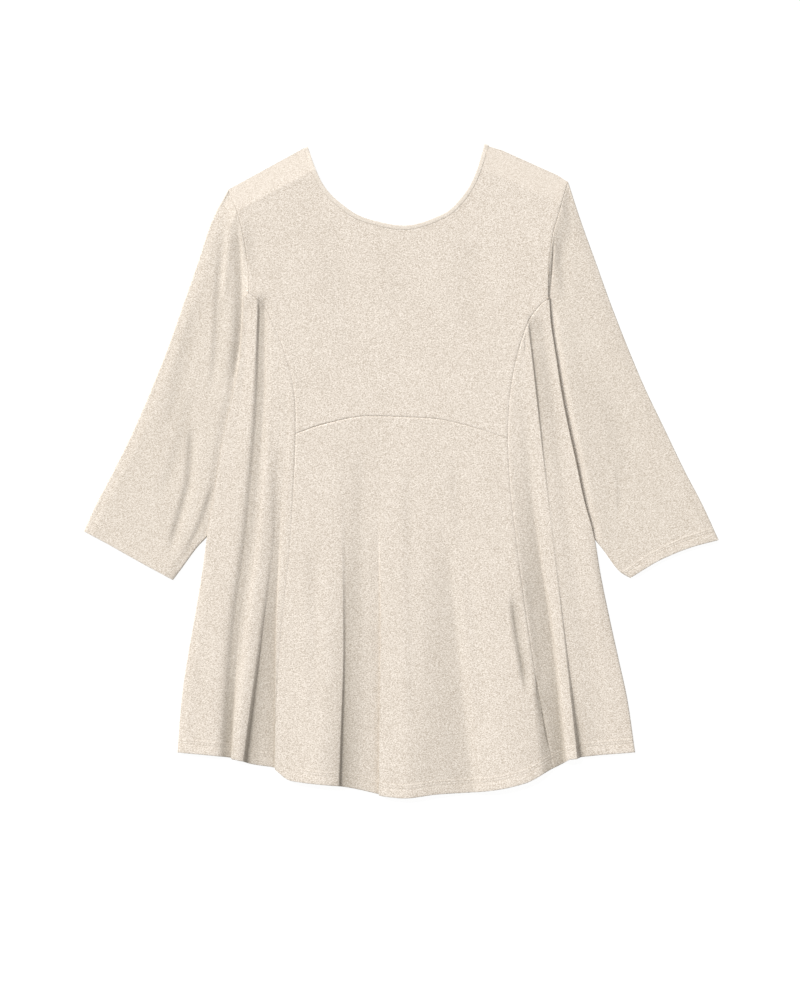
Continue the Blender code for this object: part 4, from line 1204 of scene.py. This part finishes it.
def jersey(name, colour, turn=0.0, grain=1.0, relief=1.0):
    """Brushed heather jersey: flecks drawn out across the knit, soft mottling and a fine nap."""
    material = bpy.data.materials.new(name)
    material.use_nodes = True
    nodes, links = material.node_tree.nodes, material.node_tree.links
    shader = nodes["Principled BSDF"]
    place = nodes.new("ShaderNodeTexCoord").outputs["Object"]

    def give(target, inputs):
        """A link or a plain value for each of the named inputs of a node."""
        for name, value in inputs.items():
            if isinstance(value, bpy.types.NodeSocket):
                links.new(value, target.inputs[name])
            else:
                target.inputs[name].default_value = value

    def add_node(kind, inputs, **settings):
        node = nodes.new("ShaderNode" + kind)
        for name, value in settings.items():
            setattr(node, name, value)
        give(node, inputs)
        return node.outputs

    def noise(stretch, scale, detail, rough):
        turned = {"Vector": place, "Rotation": (*NOISE_TILT, turn), "Scale": stretch}
        vector = add_node("Mapping", turned)["Vector"]
        return add_node("TexNoise", {"Vector": vector, "Scale": scale, "Detail": detail,
                                     "Roughness": rough})[0]

    def math_node(kind, *values):
        return add_node("Math", dict(enumerate(values)), operation=kind)[0]

    def spread(value, gain, base):
        return math_node("MULTIPLY_ADD", math_node("SUBTRACT", value, 0.5), gain, base)

    def mark(name):
        return add_node("Attribute", {}, attribute_name=name)["Fac"]

    def mixed(kind, factor, first, second):
        colours = {0: factor, MIX_FIRST: first, MIX_SECOND: second}
        return add_node("Mix", colours, data_type="RGBA", blend_type=kind)[MIX_RESULT]

    flecks, mottle, drift, nap = [noise(*layer) for layer in (FLECKS, MOTTLE, DRIFT, NAP)]
    tone = spread(flecks, FLECK_GAIN * grain, 0.5)
    tone = spread(mottle, MOTTLE_GAIN * grain, tone)
    tone = spread(drift, DRIFT_GAIN, tone)
    tone = spread(tone, math_node("MULTIPLY_ADD", mark("calm_grain"), -SHOULDER_CALM, 1.0), 0.5)
    dark, pale = [(*[min(1.0, value + shift) for value in colour], 1.0)
                  for shift in (-FLECK_SHIFT, FLECK_SHIFT)]
    heather = mixed("MIX", tone, dark, pale)
    height = math_node("MULTIPLY_ADD", nap, 0.5, math_node("MULTIPLY", mottle, 0.5))
    height = math_node("MULTIPLY_ADD", flecks, 0.5, height)
    bumps = {"Strength": 0.5 * relief, "Distance": BUMP_DISTANCE, "Height": height}
    # Base colour: the heather darkened by the painted fold shade held in the fold_shade attribute
    give(shader, {"Base Color": mixed("MULTIPLY", mark("fold_shade"), heather, PAINTED_SHADE_COLOUR),
                  "Normal": add_node("Bump", bumps)["Normal"],
                  "Roughness": math_node("MULTIPLY_ADD", mottle, 0.12, 0.86)})
    shader.inputs["Specular IOR Level"].default_value = 0.18
    shader.inputs["Sheen Weight"].default_value = 0.22
    shader.inputs["Sheen Roughness"].default_value = 0.55
    shader.inputs["Sheen Tint"].default_value = (1.0, 0.97, 0.92, 1.0)
    return material


body_jersey = jersey("jersey_body", BODY)
left_jersey = jersey("jersey_left_sleeve", LEFT_SLEEVE, turn=math.radians(22), grain=0.92)
right_jersey = jersey("jersey_right_sleeve", RIGHT_SLEEVE, turn=math.radians(-22), grain=0.88)
binding = jersey("neck_binding", BINDING, grain=0.5)
thread = jersey("stitching", THREAD, grain=0.6, relief=0.5)

back = add_back(body_jersey)
bodice = add_bodice(body_jersey)
skirt = add_skirt(body_jersey)
side_left = add_side_front("left", body_jersey)
side_right = add_side_front("right", body_jersey)
sleeve_left, left_length = add_sleeve("left", left_jersey)
sleeve_right, right_length = add_sleeve("right", right_jersey)
add_neck_band(binding)
hem_left, hem_middle, hem_right = hem_stitches(thread)
cuff_left = cuff_stitches("left", left_length, thread)
cuff_right = cuff_stitches("right", right_length, thread)
neck_stitches(thread)


# Floor, light and camera

def floor_material():
    material = bpy.data.materials.new("pale_floor")
    material.use_nodes = True
    nodes, links = material.node_tree.nodes, material.node_tree.links
    shader = nodes["Principled BSDF"]
    shader.inputs["Base Color"].default_value = (0.16, 0.16, 0.16, 1.0)
    shader.inputs["Roughness"].default_value = 0.9
    shader.inputs["Specular IOR Level"].default_value = 0.1
    shader.inputs["Emission Color"].default_value = (1.0, 1.0, 1.0, 1.0)
    shader.inputs["Emission Strength"].default_value = 0.92
    return material


bpy.ops.mesh.primitive_grid_add(x_subdivisions=8, y_subdivisions=8, size=FLOOR_SIZE,
                                location=(0.0, 0.0, -FLOOR_DROP))
floor = bpy.context.object
floor.name = "floor"
floor.data.materials.append(floor_material())

world = bpy.data.worlds.new("studio")
world.use_nodes = True
world.node_tree.nodes["Background"].inputs["Color"].default_value = SKY_COLOUR
world.node_tree.nodes["Background"].inputs["Strength"].default_value = SKY_STRENGTH
bpy.context.scene.world = world

key_data = bpy.data.lights.new("key", "SUN")
key_data.energy = KEY_STRENGTH
key_data.angle = math.radians(KEY_WIDTH)
key_data.color = KEY_COLOUR
key = bpy.data.objects.new("key", key_data)
key.rotation_euler = (math.radians(90.0 - KEY_ELEVATION), 0.0, math.radians(180.0 + KEY_AZIMUTH))
bpy.context.scene.collection.objects.link(key)

camera_data = bpy.data.cameras.new("camera")
camera_data.lens = CAMERA_LENS
camera_data.sensor_width = 36.0
camera_data.clip_end = 50.0
camera = bpy.data.objects.new("camera", camera_data)
camera.location = CAMERA_PLACE
bpy.context.scene.collection.objects.link(camera)
bpy.context.scene.camera = camera
bpy.context.scene.view_settings.view_transform = "Standard"
